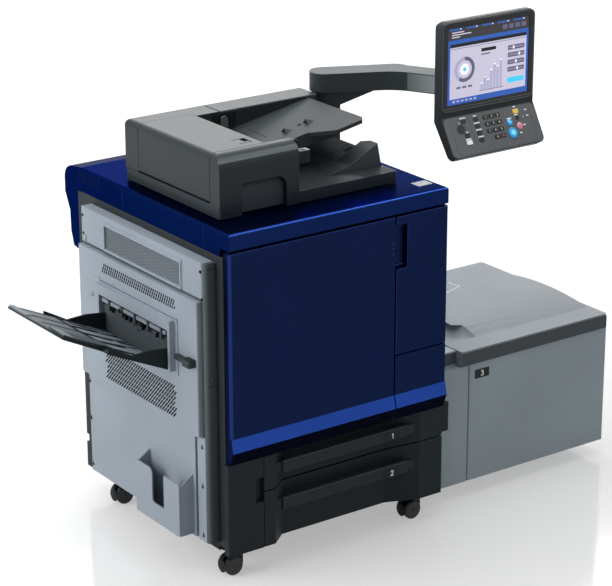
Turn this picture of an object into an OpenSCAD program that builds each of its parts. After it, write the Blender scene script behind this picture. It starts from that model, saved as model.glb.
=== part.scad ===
// Digital production press: main engine, document feeder, control panel arm and side paper unit.
// Machine frame: X runs right from the engine's left cover edge, Y runs back from the doors' face,
// Z runs up from the floor. The finished model is moved so that its origin is the middle of its
// footprint on the floor.

/* [Main engine] */
// Width of the engine
body_w = 760; // [740:2:820]
// Depth from the doors' face to the back panel
body_d = 808; // [790:2:860]
// Height of the top cover above the floor
body_h = 1042.5; // [1030:0.5:1060]
// Height of the underside above the floor
base_z = 79; // [75:1:90]
// Thickness of the base plate
base_t = 16; // [10:1:22]
// Thickness of the upright side frames
frame_t = 24; // [16:1:30]
// Thickness of the back panel
back_t = 20; // [10:1:26]
// Thickness of the top cover at its front skirt
cover_t = 49; // [40:1:56]
// Radius of the top cover's upper edges
cover_r = 9; // [4:1:12]
// Depth of the strip of top cover that hangs beside the frame
skirt_drop = 24; // [16:1:34]
// Height of the shelf between the drawers and the engine
shelf_z = 366; // [362:1:372]
// Gap between a door and its neighbours
door_gap = 4; // [3:0.5:6]

/* [Rear duct] */
// How far the duct stands behind the back panel
duct_out = 78; // [50:1:90]
// Height of the duct below the top of the side frames
duct_drop = 186.5; // [130:0.5:230]
// Height of the duct above the top cover
duct_rise = 1; // [0.5:0.5:6]
// Radius of the duct's outer shoulder
duct_r = 44; // [30:1:50]

/* [Left side covers] */
// How far the upper and lower side covers stand out from the frame
side_out = 36; // [30:1:44]
// How far the exit panel stands out from the frame
exit_out = 50; // [46:1:58]
// Front edge of the side covers
side_y0 = 79; // [74:1:84]
// Back edge of the side covers
side_y1 = 730; // [700:1:750]
// Underside of the lower side cover
lower_z = 107; // [100:1:116]
// Underside of the exit panel
exit_z0 = 431; // [420:1:440]
// Gap between the exit panel and the upper side cover
exit_gap = 9; // [5:1:14]
// Height of the upper side cover
upper_h = 105; // [98:1:112]
// Distance of the upper side cover below the top of the side frames
upper_drop = 22.5; // [14:0.5:34]
// Width of the screwed strip beside the lower cover
strip_w = 42; // [30:1:48]
// Step of the lower cover's back edge in front of the other side covers
lower_step = 11; // [6:1:20]
// Gap between the strip and the lower cover
strip_gap = 11; // [6:1:14]
// How far the corner cover stands in front of the side covers
corner_out = 13; // [8:1:18]
// Depth of the vent recesses
vent_deep = 5; // [3:0.5:8]
// Front edge of the vent fields
vent_y0 = 193; // [180:1:205]
// Back edge of the vent fields
vent_y1 = 600; // [580:1:615]
// Height of the upper vent field
vent_hi_h = 31; // [20:1:34]
// Height of the lower vent field
vent_low_h = 101; // [80:1:110]
// Height of the mesh vent in the upper cover
mesh_h = 86; // [70:1:90]

/* [Paper exit] */
// How far the exit collar stands out from the exit panel
collar_out = 20; // [12:1:26]
// Distance of the collar below the exit panel's top
collar_drop = 83; // [76:1:90]
// Height of the collar
collar_h = 152; // [144:1:160]
// Width of the collar's front side
collar_front = 11; // [8:1:16]
// Width of the collar's back side
collar_back = 24; // [16:1:30]
// Depth of the collar's top beam
collar_top = 30; // [26:1:44]
// Front edge of the paper opening
mouth_y0 = 212; // [208:1:222]
// Back edge of the paper opening
mouth_y1 = 586; // [576:1:592]
// How far the exit wall lies outside the frame
exit_wall = 46; // [40:1:48]
// Thickness of the plate on the exit wall
exit_plate_t = 8; // [6:0.5:10]
// Length of the paper feelers on the exit wall
feeler_l = 11; // [6:1:12]
// How far the output tray reaches from the frame
tray_out = 382; // [300:2:420]
// How far the tray's side walls reach from the frame
tray_wall = 258; // [200:2:280]
// Slope of the output tray
tray_slope = 24.8; // [18:0.2:28]
// Thickness of the output tray's floor
tray_t = 10; // [6:0.5:14]
// Height of the rim at the end of the tray's walls
rim_h = 15; // [10:1:20]
// Gap between the output tray and the sides of its opening
tray_gap = 6; // [4:1:12]
// Length of the output tray's walls that run level
tray_level = 120; // [90:1:150]
// How far the extension's front edge is set in
wing_in = 30; // [15:1:45]
// Cut at the extension's far corner
tray_cut = 22; // [10:1:40]
// Height of the tray's side walls above its floor
tray_side_h = 46; // [35:1:55]
// Thickness of the tray's side walls
tray_side_t = 5; // [4:0.5:6]
// Length over which the side walls drop to the rim
tray_drop = 62; // [40:1:80]
// Height of the ribs on the tray
rib_h = 5; // [3:0.5:7]
// Width of a rib on the tray
rib_w = 6; // [4:0.5:9]
// Height of the release lever above the collar's lower edge
lever_up = 44; // [36:1:52]
// Distance of the lever's end from the front edge of the side covers
lever_in = 18; // [12:1:25]
// Length of the lever's grip
lever_grip = 38; // [30:1:50]
// Thickness of the lever's bar
lever_t = 14; // [10:1:18]
// Height of the lever's grip
lever_h = 20; // [16:1:26]
// How far the lever's bar stands out
lever_out = 14; // [10:1:18]

/* [Brochure pocket] */
// Front edge of the pocket
pocket_y0 = 147; // [135:1:160]
// Length of the pocket
pocket_len = 233; // [200:1:260]
// How far the pocket stands out from the lower cover
pocket_out = 48; // [36:1:54]
// Height of the pocket's lower edge
pocket_z0 = 112; // [109:1:125]
// Height of the pocket's outer wall
pocket_h = 162; // [130:1:180]
// How much higher the pocket's sides are
pocket_rise = 23; // [10:1:40]
// Distance of the pocket's cut-out from its front edge
cut_y = 82; // [60:1:100]
// Width of the cut-out
cut_w = 63; // [40:1:80]
// Height of the cut-out's bottom above the pocket's lower edge
cut_z = 58; // [40:1:80]
// Radius where the rim turns into the cut-out
cut_r = 18; // [8:1:24]
// Wall thickness of the pocket
pocket_t = 4; // [3:0.5:6]

/* [Front doors] */
// Thickness of the front doors
door_t = 28; // [22:1:30]
// Width of the large front door
door_w = 569; // [540:1:585]
// Gap between the doors and the top cover
door_top_gap = 6.5; // [4:0.5:12]
// Top of the bright strip
strip_z1 = 442; // [436:1:450]
// Height of the bright strip
strip_h = 39; // [30:1:44]
// How far the strip's lower edge stands out
strip_out = 9; // [4:1:12]
// Height of the fixed cover under the small right door
lower_front_h = 121; // [108:1:134]
// Width of the grip recess in the small door
grip_w = 40; // [30:1:50]
// Height of the grip recess
grip_h = 132; // [110:1:150]
// Distance of the grip recess below the door's top
grip_drop = 26; // [18:1:40]
// Depth of the grip recess
grip_deep = 15; // [10:1:18]
// Distance of a door's hinge line from its side edge
pin_in = 8; // [8:1:12]
// Radius of the doors' outer upright edges
door_r = 8; // [4:1:12]

/* [Drawers] */
// Depth of the drawers' face behind the doors' face
drawer_y = 8; // [6:1:14]
// Width of the fixed column beside the drawers
column_w = 113; // [100:1:125]
// How far the column stands out past the frame
column_out = 7; // [4:1:12]
// Width of the notch in the column beside the drawers' split
notch_w = 26; // [20:1:30]
// Depth of the notch
notch_deep = 16; // [10:1:20]
// Reach of the notch below the split
notch_down = 29; // [20:1:40]
// Reach of the notch above the split
notch_up = 46; // [36:1:56]
// Thickness of the column and drawer fronts at their sides
front_t = 58; // [50:1:64]
// Depth of the hollow in each drawer front
recess = 40; // [30:1:44]
// Start of the hollow from the drawer's left edge
recess_x0 = 38; // [30:1:45]
// Start of the hollow from the drawer's right edge
recess_x1 = 85; // [70:1:100]
// Width of the hollow's left slope
bevel_x0 = 50; // [40:1:60]
// Width of the hollow's right slope
bevel_x1 = 100; // [70:1:110]
// Height of the split between the drawers
split_z = 253; // [245:1:260]
// How much the split rises near the right end
split_step = 13; // [8:1:18]
// Gap between the drawer fronts
drawer_gap = 4; // [3:0.5:6]
// Top of the upper drawer front
drawer_top = 361; // [357:1:362]
// Height of a handle bar
handle_h = 36; // [28:1:42]
// Thickness of a handle bar
handle_t = 16; // [12:1:20]
// Distance of a handle bar from the hollow's left edge
handle_in_x0 = 27; // [22:1:40]
// Distance of a handle bar from the hollow's right edge
handle_in_x1 = 43; // [36:1:60]
// Top of a handle bar under the drawer front's top
handle_drop = 30; // [26:1:40]
// Distance from the upper handle bar to the lower one
handle_pitch = 115; // [108:1:122]
// Gap between a drawer tray and the side frames
runner_w = 12; // [8:1:16]
// Distance of a drawer tray from the left edge of its front
tray_in = 6; // [5:1:20]
// Wall thickness of a drawer tray
tray_wall_t = 6; // [4:0.5:8]
// Length of a drawer tray
drawer_len = 600; // [520:5:640]

/* [Document feeder] */
// Left edge of the feeder
feeder_x0 = 49; // [40:1:60]
// Gap between the feeder and the arm's column
feeder_end_gap = 20; // [10:1:30]
// Front edge of the feeder
feeder_y0 = 116; // [105:1:130]
// Depth of the feeder
feeder_d = 492; // [470:2:500]
// Gap between the top cover and the feeder
feeder_gap = 3.5; // [3:0.5:6]
// Thickness of the feeder's base
feeder_base_t = 34; // [28:1:40]
// Width of the scan glass under the feeder
glass_w = 490; // [470:2:500]
// Depth of the scan glass
glass_d = 352; // [330:2:370]
// Distance of the scan glass from the feeder's edges
glass_in = 32; // [25:1:40]
// Height of the feeder above its base
feeder_h = 143; // [130:1:150]
// Width of the feeder's tall housing
housing_w = 267; // [255:1:280]
// Radius of the housing's upper front edge
housing_r = 38; // [24:1:44]
// Width of the opening cover
flap_w = 182; // [165:1:195]
// Front edge of the opening cover behind the feeder's front
flap_y0 = 49; // [42:1:56]
// Depth of the opening cover
flap_d = 372; // [350:2:380]
// Thickness of the opening cover's shell
flap_t = 12; // [8:1:14]
// Height of the ramp at the end of the paper exit
ramp_h = 68; // [50:1:75]
// Height of the ramp behind its front gusset
ramp_back_h = 37; // [25:1:48]
// Depth of the gusset in front of the ramp
gusset_w = 65; // [40:1:90]
// How far the gusset's end slants back
gusset_cut = 27; // [10:1:40]
// Length of the ramp
ramp_len = 190; // [160:2:210]
// Distance of the ramp behind the feeder's front
ramp_y = 74; // [60:1:90]
// Depth of the block under the document tray
doc_under = 34; // [20:1:44]
// Depth of the rear rail
rail_d = 96; // [80:1:115]
// How far the feed mouth reaches under the opening cover
mouth_deep = 35; // [20:1:60]
// Height of the document tray above the feeder's base, where it meets the housing
doc_up = 68; // [60:1:80]
// Slope of the document tray
doc_slope = 10.5; // [8:0.5:13]
// Thickness of the document tray
doc_t = 12; // [8:1:16]
// Gap under the document tray in the feed mouth
doc_clear = 0.3; // [0.2:0.05:0.6]
// Distance of the document tray's right edge from the feeder's right edge
doc_in = 46; // [30:1:60]
// Front edge of the document tray behind the feeder's front
doc_y = 109; // [95:1:120]
// How far the tray's front edge is set back beside the housing
doc_step = 59; // [45:1:70]
// Length of the set-back edge
doc_step_len = 146; // [130:1:160]
// Length of the slant in the tray's front edge
doc_slant = 64; // [50:1:75]
// Width of the lifting grip
lift_w = 152; // [130:1:170]
// Height of the lifting grip
lift_h = 91; // [80:1:100]
// Distance of the lifting grip from the feeder's left edge
lift_x = 73; // [60:1:85]
// Radius of the grip's upper corners
lift_r = 32; // [20:1:45]
// Depth of the lifting grip
lift_deep = 22; // [15:1:28]

/* [Control panel] */
// Height of the arm's top face above the top cover
arm_rise = 234.5; // [222:0.5:250]
// Thickness of the arm
arm_t = 58; // [50:1:64]
// Width of the arm
arm_w = 90; // [80:1:96]
// Distance of the arm's pivot from the engine's right side
arm_in = 39; // [38:1:55]
// Distance from the arm's end to the panel's tilt pin
knuckle_len = 28; // [28:1:40]
// Distance from the tilt pin to the panel's back
pin_out = 15; // [15:1:22]
// Distance of the arm's pivot from the doors' face
arm_y = 557; // [540:1:590]
// Width of the arm's column
column_side = 76; // [60:1:78]
// Depth of the web under the arm's root
web_h = 42; // [30:1:50]
// Length of the arm's first part
arm_len_1 = 218; // [200:1:240]
// Direction of the arm's first part
arm_dir_1 = -25; // [-32:1:-18]
// Length of the arm's second part
arm_len_2 = 252; // [230:1:270]
// Direction of the arm's second part
arm_dir_2 = -62; // [-70:1:-55]
// Radius on the inner side of the arm's bend
bend_r = 150; // [80:5:200]
// Width of the panel
panel_w = 352; // [330:2:380]
// Height of the panel's upright part
panel_h = 286; // [280:1:300]
// Thickness of the panel
panel_t = 33; // [26:1:38]
// Length of the panel's key deck
deck_len = 127; // [110:1:140]
// Lean of the key deck from upright
deck_lean = 30; // [22:1:38]
// Radius of the panel's upper corners
panel_r = 22; // [10:1:30]
// Radius of the key deck's lower corners
deck_r = 18; // [10:1:26]
// Width of the screen
screen_w = 308; // [290:2:316]
// Height of the screen
screen_h = 231; // [215:1:236]
// Distance of the first number key from the panel's left edge
keypad_x = 160; // [150:1:170]
// Distance of the first row of keys below the bend
keypad_y = 20; // [16:1:24]
// Spacing of the number keys across the panel
key_pitch = 22.4; // [20:0.1:24]
// Spacing of the key rows
row_pitch = 21.7; // [19:0.1:23]
// Width of a key
key_w = 19; // [12:1:20]
// Height of a key
key_h = 12.5; // [8:0.5:14]
// How far the keys stand out of the deck
key_t = 2; // [1:0.5:4]
// Distance of the column of round-ended keys from the panel's left edge
column_x = 122; // [110:1:130]
// Distance of the keys around the dial from the panel's left edge
side_key_x = 75; // [65:1:85]
// Distance of the dial from the panel's left edge
dial_x = 59; // [50:1:64]
// Diameter of the dial
dial_d = 26; // [20:1:30]
// Distance of the start key from the panel's left edge
start_x = 243; // [235:1:250]
// Diameter of the start key
start_d = 34; // [26:1:38]
// Diameter of the keys beside it
small_key_d = 21; // [14:1:22]
// Distance of the rightmost keys from the panel's left edge
action_x = 275.5; // [268:0.5:285]
// Height of the screen's lower edge above the key deck
screen_up = 34; // [25:1:38]
// Distance of the panel's bend below its tilt pin
bend_drop = 58; // [48:1:64]

/* [Paper unit] */
// Gap between the engine and the paper unit
unit_gap = 9; // [6:1:14]
// Width of the paper unit
unit_w = 708; // [680:2:740]
// Distance of the paper unit's feet from its sides and back
unit_foot_in = 70; // [50:1:90]
// Distance of the paper unit's front feet behind its front
unit_foot_y = 150; // [120:1:180]
// Front face of the paper unit behind the doors' face
unit_y0 = 81; // [75:1:90]
// Depth of the paper unit
unit_d = 611; // [590:1:640]
// Underside of the paper unit
unit_z0 = 48; // [42:1:56]
// Height of the paper unit's front
unit_h = 382; // [360:1:384]
// Width of the fixed part of the paper unit's front
unit_side_w = 148; // [135:1:160]
// Width of the seam in the front
unit_seam = 4; // [3:0.5:6]
// Thickness of the front covers
unit_cover_t = 24; // [18:1:30]
// Left edge of the lid from the paper unit's left side
lid_x = 116; // [105:1:125]
// Thickness of the lid's edge
lid_t = 46; // [40:1:50]
// How far the lid stands in front of the front face
lid_out = 5; // [2:1:8]
// Height of the lid's raised crown
crown_h = 18; // [10:1:22]
// Distance of the crown from the lid's front edge
crown_y = 96; // [80:1:110]
// Depth of the crown
crown_d = 370; // [340:2:400]
// How far the crown's edges run out in front and behind
crown_side = 16; // [8:1:24]
// Distance of the crown from the lid's left edge
crown_x = 100; // [80:1:115]
// Distance of the finger scoop's end from the lid's left edge
scoop_x = 119; // [116:1:130]
// Depth of the finger scoop
scoop_deep = 14; // [8:1:20]
// Radius of the finger scoop
scoop_r = 60; // [50:1:80]
// Wall thickness of the paper well
well_wall = 22; // [16:1:28]

/* [Feet and casters] */
// Diameter of a caster wheel
wheel_d = 58; // [50:1:62]
// Width of a caster wheel
wheel_w = 18; // [14:1:20]
// Gap between a caster's two wheels
wheel_gap = 14; // [12:1:18]
// Distance from a caster's axle to its swivel axis
trail = 24; // [20:1:28]
// Distance of the front casters from the left side
caster_x = 58; // [54:1:80]
// Distance of the front casters behind the doors' face
caster_y = 66; // [62:1:80]
// Distance from the front casters to the back casters
caster_base = 598; // [560:2:640]
// Distance of the right casters from the right side
caster_right = 56; // [56:1:70]
// Diameter of a levelling foot
foot_d = 45; // [36:1:50]
// Thickness of a levelling foot's disc
foot_t = 12; // [8:1:16]
// Diameter of a levelling foot's stem
stem_d = 14; // [10:1:20]
// Distance of the engine's levelling feet from its sides
foot_in = 92; // [84:1:120]
// Distance of the engine's levelling feet from its front
foot_y = 172; // [150:1:200]
// Height of the engine's raised levelling feet above the floor
foot_lift = 22; // [10:1:30]

/* [Hidden] */

hinge_r = 8;    // the hinges of the feeder and the lid
hinge_w = 40;
hinge_pin_d = 10;
cheek_t = 10;
hinge_in = 95;
notch_z = 160;  // a small notch in the back panel's edges
notch_h = 26;
run = 0.3;      // running gap between pieces on different bodies
eps = 0.01;     // overlap of cutting tools past a face

// heights of the engine
skirt_z = body_h - cover_t;
frame_top = skirt_z - skirt_drop;
core_gap = 3;
core_y0 = door_t + core_gap;
duct_low = frame_top - duct_drop;
upper_z1 = frame_top - upper_drop;
upper_z0 = upper_z1 - upper_h;
exit_z1 = upper_z0 - exit_gap;
collar_z1 = exit_z1 - collar_drop;
collar_z0 = collar_z1 - collar_h;
mouth_z1 = collar_z1 - collar_top;
door_z1 = skirt_z - door_top_gap;
toner_z0 = strip_z1 + lower_front_h + door_gap;
grip_z1 = door_z1 - grip_drop;

// the feeder
feeder_x1 = body_w - arm_in - column_side / 2 - feeder_end_gap;
feeder_y1 = feeder_y0 + feeder_d;
feeder_z0 = body_h + feeder_gap;
feeder_z1 = feeder_z0 + feeder_base_t;
feeder_joint = 2;
feeder_z2 = feeder_z1 + feeder_joint;
feeder_top = feeder_z2 + feeder_h;
housing_x1 = feeder_x0 + housing_w;
doc_x1 = feeder_x1 - doc_in;
doc_z = feeder_z1 + doc_up;
flap_x1 = feeder_x0 + flap_w;
mouth_x = flap_x1 - mouth_deep;
flap_y1 = feeder_y0 + flap_y0 + flap_d;
flap_pin_x = feeder_x0 + 7;
flap_pin_z = feeder_z2 + 8;
flap_pin_d = 6;
flap_pin_l = 7;

feeder_hinges = [feeder_x0 + hinge_in, feeder_x1 - hinge_in];
feeder_pin_y = feeder_y1 + 2 * hinge_r + 1;
feeder_pin_z = feeder_z0 + 10;

// the paper unit
unit_x0 = body_w + unit_gap;
unit_x1 = unit_x0 + unit_w;
unit_y1 = unit_y0 + unit_d;
unit_top = unit_z0 + unit_h;
lid_x0 = unit_x0 + lid_x;
lid_x1 = unit_x1 - 6;
lid_y0 = unit_y0 - lid_out;
lid_z0 = unit_top + door_gap;
lid_z1 = lid_z0 + lid_t;
lid_hinges = [lid_x0 + 90, lid_x1 - 90];
lid_pin_y = unit_y1 + 10;
lid_pin_z = lid_z0 + 6;
well_x0 = unit_x0 + unit_side_w + well_wall;
well_x1 = unit_x1 - well_wall;
well_y0 = unit_y0 + unit_cover_t + well_wall;
well_y1 = unit_y1 - well_wall;

// the arm and the panel
arm_x = body_w - arm_in;
arm_top = body_h + arm_rise;
arm_z0 = arm_top - arm_t;
elbow_x = arm_x + arm_len_1 * cos(arm_dir_1);
elbow_y = arm_y + arm_len_1 * sin(arm_dir_1);
wrist_x = elbow_x + arm_len_2 * cos(arm_dir_2);
wrist_y = elbow_y + arm_len_2 * sin(arm_dir_2);
ear_x0 = 15;    // the panel's ears on the tilt pin, from the panel's middle
ear_x1 = 28;
ear_r = 12;
tilt_pin_d = 10;
arm_pin_d = 40;
arm_pin_h = 30;
knuckle_r = 26;
fork_t = 10;
bar_n = 24;
tilt_y = wrist_y - knuckle_len;
tilt_z = arm_z0 + arm_t / 2;
bend_z = tilt_z - bend_drop;
panel_x0 = wrist_x - panel_w / 2;
panel_y1 = tilt_y - pin_out;
panel_y0 = panel_y1 - panel_t;

// the drawers
drawer_x0 = column_w + 2;
drawer_x1 = body_w - 2;
handle_x0 = drawer_x0 + recess_x0 + handle_in_x0;
handle_x1 = drawer_x1 - recess_x1 - handle_in_x1;
drawer_low = base_z + 1;
drawer_back = drawer_y + front_t;
bay_y0 = drawer_back + 2;
handle_top_1 = drawer_top - handle_drop;
handle_top_2 = handle_top_1 - handle_pitch;
tray_x0 = drawer_x0 + tray_in;
tray_x1 = body_w - frame_t - runner_w;
tray_z_1 = split_z + split_step + 6;
tray_z_2 = base_z + base_t + run;

// the casters
caster_back_y = caster_y + caster_base;
caster_right_x = body_w - caster_right;

// the whole model's footprint
x_low = -tray_out;
x_high = unit_x1;
y_low = -strip_out;
y_high = body_d + duct_out;
mid_x = (x_low + x_high) / 2;
mid_y = (y_low + y_high) / 2;

module place() { translate([-mid_x, -mid_y, 0]) children(); }

// a box between two corners
module box(a, b) { translate(a) cube(b - a); }

// a side view (Y, Z) drawn out along X
module along_x(x0, x1) {
    translate([x0, 0, 0]) rotate([90, 0, 90]) linear_extrude(x1 - x0) children();
}

// a front view (X, Z) drawn out along Y
module along_y(y0, y1) {
    translate([0, y1, 0]) rotate([90, 0, 0]) linear_extrude(y1 - y0) children();
}

// a plan (X, Y) drawn up along Z
module along_z(z0, z1) { translate([0, 0, z0]) linear_extrude(z1 - z0) children(); }

// points of an arc
function arc(c, r, a0, a1, n = 7) =
    [for (i = [0:n]) c + r * [cos(a0 + (a1 - a0) * i / n), sin(a0 + (a1 - a0) * i / n)]];

// a rectangle with four corner radii, counted from the lower left one
module round_rect(a, b, r = [0, 0, 0, 0]) {
    polygon(concat(arc([a.x + r[0], a.y + r[0]], r[0], 180, 270),
        arc([b.x - r[1], a.y + r[1]], r[1], 270, 360),
        arc([b.x - r[2], b.y - r[2]], r[2], 0, 90),
        arc([a.x + r[3], b.y - r[3]], r[3], 90, 180)));
}

// ---- hinges: a leaf's barrel turns on a pin between two cheeks ----

// the pin and its two cheeks, standing on a face at z0 below the pin
module hinge_seat(x, y, z, z0) {
    for (x0 = [x - hinge_w / 2 - cheek_t - run, x + hinge_w / 2 + run]) {
        translate([x0, y, z]) rotate([0, 90, 0]) cylinder(r = hinge_r, h = cheek_t, $fn = 32);
        box([x0, y - hinge_r, z0], [x0 + cheek_t, y + hinge_r, z]);
    }
    translate([x - hinge_w / 2 - cheek_t, y, z]) rotate([0, 90, 0])
        cylinder(d = hinge_pin_d, h = hinge_w + 2 * cheek_t, $fn = 32);
}

// the barrel, with its arm reaching forward to y0
module hinge_leaf(x, y, z, y0) {
    x0 = x - hinge_w / 2;
    difference() {
        union() {
            translate([x0, y, z]) rotate([0, 90, 0]) cylinder(r = hinge_r, h = hinge_w, $fn = 32);
            box([x0, y0, z - 4], [x0 + hinge_w, y, z + 6]);
        }
        translate([x0 - 1, y, z]) rotate([0, 90, 0])
            cylinder(d = hinge_pin_d + 0.1, h = hinge_w + 2, $fn = 32);
    }
}

// ---- engine frame ----

module base_plate() color("dimgray")
    box([0, bay_y0, base_z], [body_w, body_d - back_t, base_z + base_t]);

// the runners of both drawers along a side frame's inner face
module runners(x0, x1)
    for (z = [tray_z_1 + 12, tray_z_2 + 40])
        box([x0, bay_y0 + 10, z], [x1, bay_y0 + drawer_len - 30, z + 20]);

module side_frame_left() color("dimgray") {
    box([0, core_y0, base_z + base_t], [frame_t, body_d - back_t, frame_top]);
    runners(frame_t - eps, tray_x0 - run);
}

module side_frame_right() color("lightsteelblue") {
    x0 = body_w - frame_t;
    box([x0, core_y0, shelf_z], [body_w, body_d - back_t, skirt_z]);
    box([x0, bay_y0, base_z + base_t], [body_w, body_d - back_t, shelf_z + eps]);
    runners(tray_x1 + run, x0 + eps);
}

module back_panel() color("lightsteelblue")
    difference() {
        box([0, body_d - back_t, base_z], [body_w, body_d, frame_top - 2]);
        // the lifting notches at its lower corners
        for (x = [-eps, body_w - 12])
            box([x, body_d - 14, notch_z], [x + 12 + eps, body_d + eps, notch_z + notch_h]);
    }

module engine_core() color("dimgray")
    box([frame_t, core_y0, shelf_z], [body_w - frame_t, body_d - back_t, skirt_z]);

module top_cover() color("midnightblue") {
    intersection() {
        along_x(0, body_w)
            round_rect([0, skirt_z], [body_d - back_t, body_h], [2, 0, 0, cover_r]);
        along_y(0, body_d - back_t)
            round_rect([0, skirt_z], [body_w, body_h], [0, 0, cover_r, cover_r]);
    }
    box([0, 43, frame_top], [frame_t, body_d - back_t, skirt_z + eps]);
    for (x = feeder_hinges) hinge_seat(x, feeder_pin_y, feeder_pin_z, body_h - eps);
}

module scan_glass() color("lightcyan")
    box([feeder_x0 + glass_in, feeder_y0 + glass_in, body_h],
        [feeder_x0 + glass_in + glass_w, feeder_y0 + glass_in + glass_d, feeder_z0 - run]);

module rear_duct() color("midnightblue") {
    y0 = body_d - back_t;
    y1 = body_d + duct_out;
    top = body_h + duct_rise;
    shoulder = body_d + duct_out - duct_r;
    along_x(0, body_w) polygon(concat(
        [[y0, frame_top], [y0, top]],
        arc([shoulder, top - 8 - duct_r], duct_r, 76, 0),
        [[y1, top - 96], [y1 - 26, top - 150], [y1 - 28, duct_low + 48],
         [y1 - 42, duct_low + 4], [body_d + 15, duct_low], [body_d, duct_low],
         [body_d, frame_top]]));
}

// ---- left side covers ----

module upper_side_cover() color("lightsteelblue")
    difference() {
        union() {
            along_z(upper_z0, upper_z1)
                round_rect([-side_out, side_y0 + 2], [0, side_y1], [12, 0, 0, 3]);
            along_x(-side_out - 2, 0)
                round_rect([vent_y0 - 12, upper_z0 + 3], [vent_y1, upper_z0 + 3 + mesh_h],
                    [3, 3, 3, 3]);
        }
        box([-side_out - 3, vent_y0 - 2, upper_z0 + 8],
            [-side_out + vent_deep, vent_y1 - 5, upper_z0 + mesh_h - 9]);
    }

module exit_panel() color("lightsteelblue")
    difference() {
        along_z(exit_z0, exit_z1)
            round_rect([-exit_out, side_y0 + 11], [0, side_y1], [4, 0, 0, 4]);
        // the upper and lower vent fields
        box([-exit_out - eps, vent_y0, exit_z1 - 22 - vent_hi_h],
            [-exit_out + vent_deep, vent_y1 + 2, exit_z1 - 22]);
        box([-exit_out - eps, vent_y0, exit_z0 + 20],
            [-exit_out + vent_deep, vent_y1 - 1, exit_z0 + 20 + vent_low_h]);
        // the paper opening, down to the exit wall, its floor sloping as the tray does
        along_y(mouth_y0, mouth_y1) polygon([
            [-exit_out - eps, tray_z(exit_out)], [-exit_out - eps, mouth_z1],
            [-exit_wall, mouth_z1], [-exit_wall, tray_z(exit_wall)]]);
    }

module exit_collar() color("lightsteelblue")
    difference() {
        along_x(-exit_out - collar_out, -exit_out)
            round_rect([mouth_y0 - collar_front, collar_z0], [mouth_y1 + collar_back, collar_z1],
                [2, 2, 3, 3]);
        box([-exit_out - collar_out - eps, mouth_y0, collar_z0 - eps],
            [-exit_out + eps, mouth_y1, mouth_z1]);
    }

// the wall inside the paper opening with its row of paper feelers
module exit_wall_plate() color("gray") {
    feelers = 5;
    x0 = -exit_wall - exit_plate_t;
    box([x0, mouth_y0 + run, tray_z(-x0)],
        [-exit_wall, mouth_y1 - run, mouth_z1 - run]);
    for (i = [0:feelers - 1])
        translate([x0 - feeler_l, mouth_y0 + 40 + i * (mouth_y1 - mouth_y0 - 90) / (feelers - 1),
            mouth_z1 - 40])
            cube([feeler_l + eps, 8, 34]);
}

module lower_side_cover() color("lightsteelblue") {
    y0 = side_y0 + strip_w;
    along_z(lower_z, exit_z0 - 2)
        round_rect([-side_out, side_y0], [0, y0], [2, 0, 0, 2]);
    along_z(lower_z, exit_z0 - 2)
        round_rect([-side_out, y0 + strip_gap], [0, side_y1 - lower_step], [2, 0, 0, 4]);
}

module corner_cover() color("lightsteelblue")
    along_z(lower_z, upper_z1)
        round_rect([-side_out, side_y0 - corner_out], [0, side_y0 - run],
            [corner_out - 2, 3, 0, 0]);

module brochure_pocket() color("lightsteelblue") {
    x0 = -side_out - pocket_out;
    y1 = pocket_y0 + pocket_len;
    cut_y1 = pocket_y0 + cut_y + cut_w;
    rim = pocket_z0 + pocket_h;
    // outer wall with its finger cut-out
    difference() {
        along_x(x0, x0 + pocket_t)
            round_rect([pocket_y0, pocket_z0], [y1, pocket_z0 + pocket_h], [6, 6, 8, 8]);
        along_x(x0 - eps, x0 + pocket_t + eps) {
            round_rect([pocket_y0 + cut_y, pocket_z0 + cut_z], [cut_y1, rim + 1], [4, 10, 0, 0]);
            polygon(concat([[cut_y1 - 1, rim + 1], [cut_y1 + cut_r, rim + 1]],
                arc([cut_y1 + cut_r, rim - cut_r], cut_r, 90, 180)));
        }
    }
    box([x0 + pocket_t - eps, pocket_y0, pocket_z0], [-side_out, y1, pocket_z0 + pocket_t]);
    for (y = [pocket_y0, y1 - pocket_t])
        along_y(y, y + pocket_t) polygon([[x0 + pocket_t - eps, pocket_z0],
            [-side_out, pocket_z0], [-side_out, pocket_z0 + pocket_h + pocket_rise],
            [x0 + pocket_t - eps, pocket_z0 + pocket_h - 8]]);
}

// height of the output tray's underside at a distance out from the frame
function tray_z(out) = collar_z0 - 6 + (out - exit_out) * tan(tray_slope);

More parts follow.
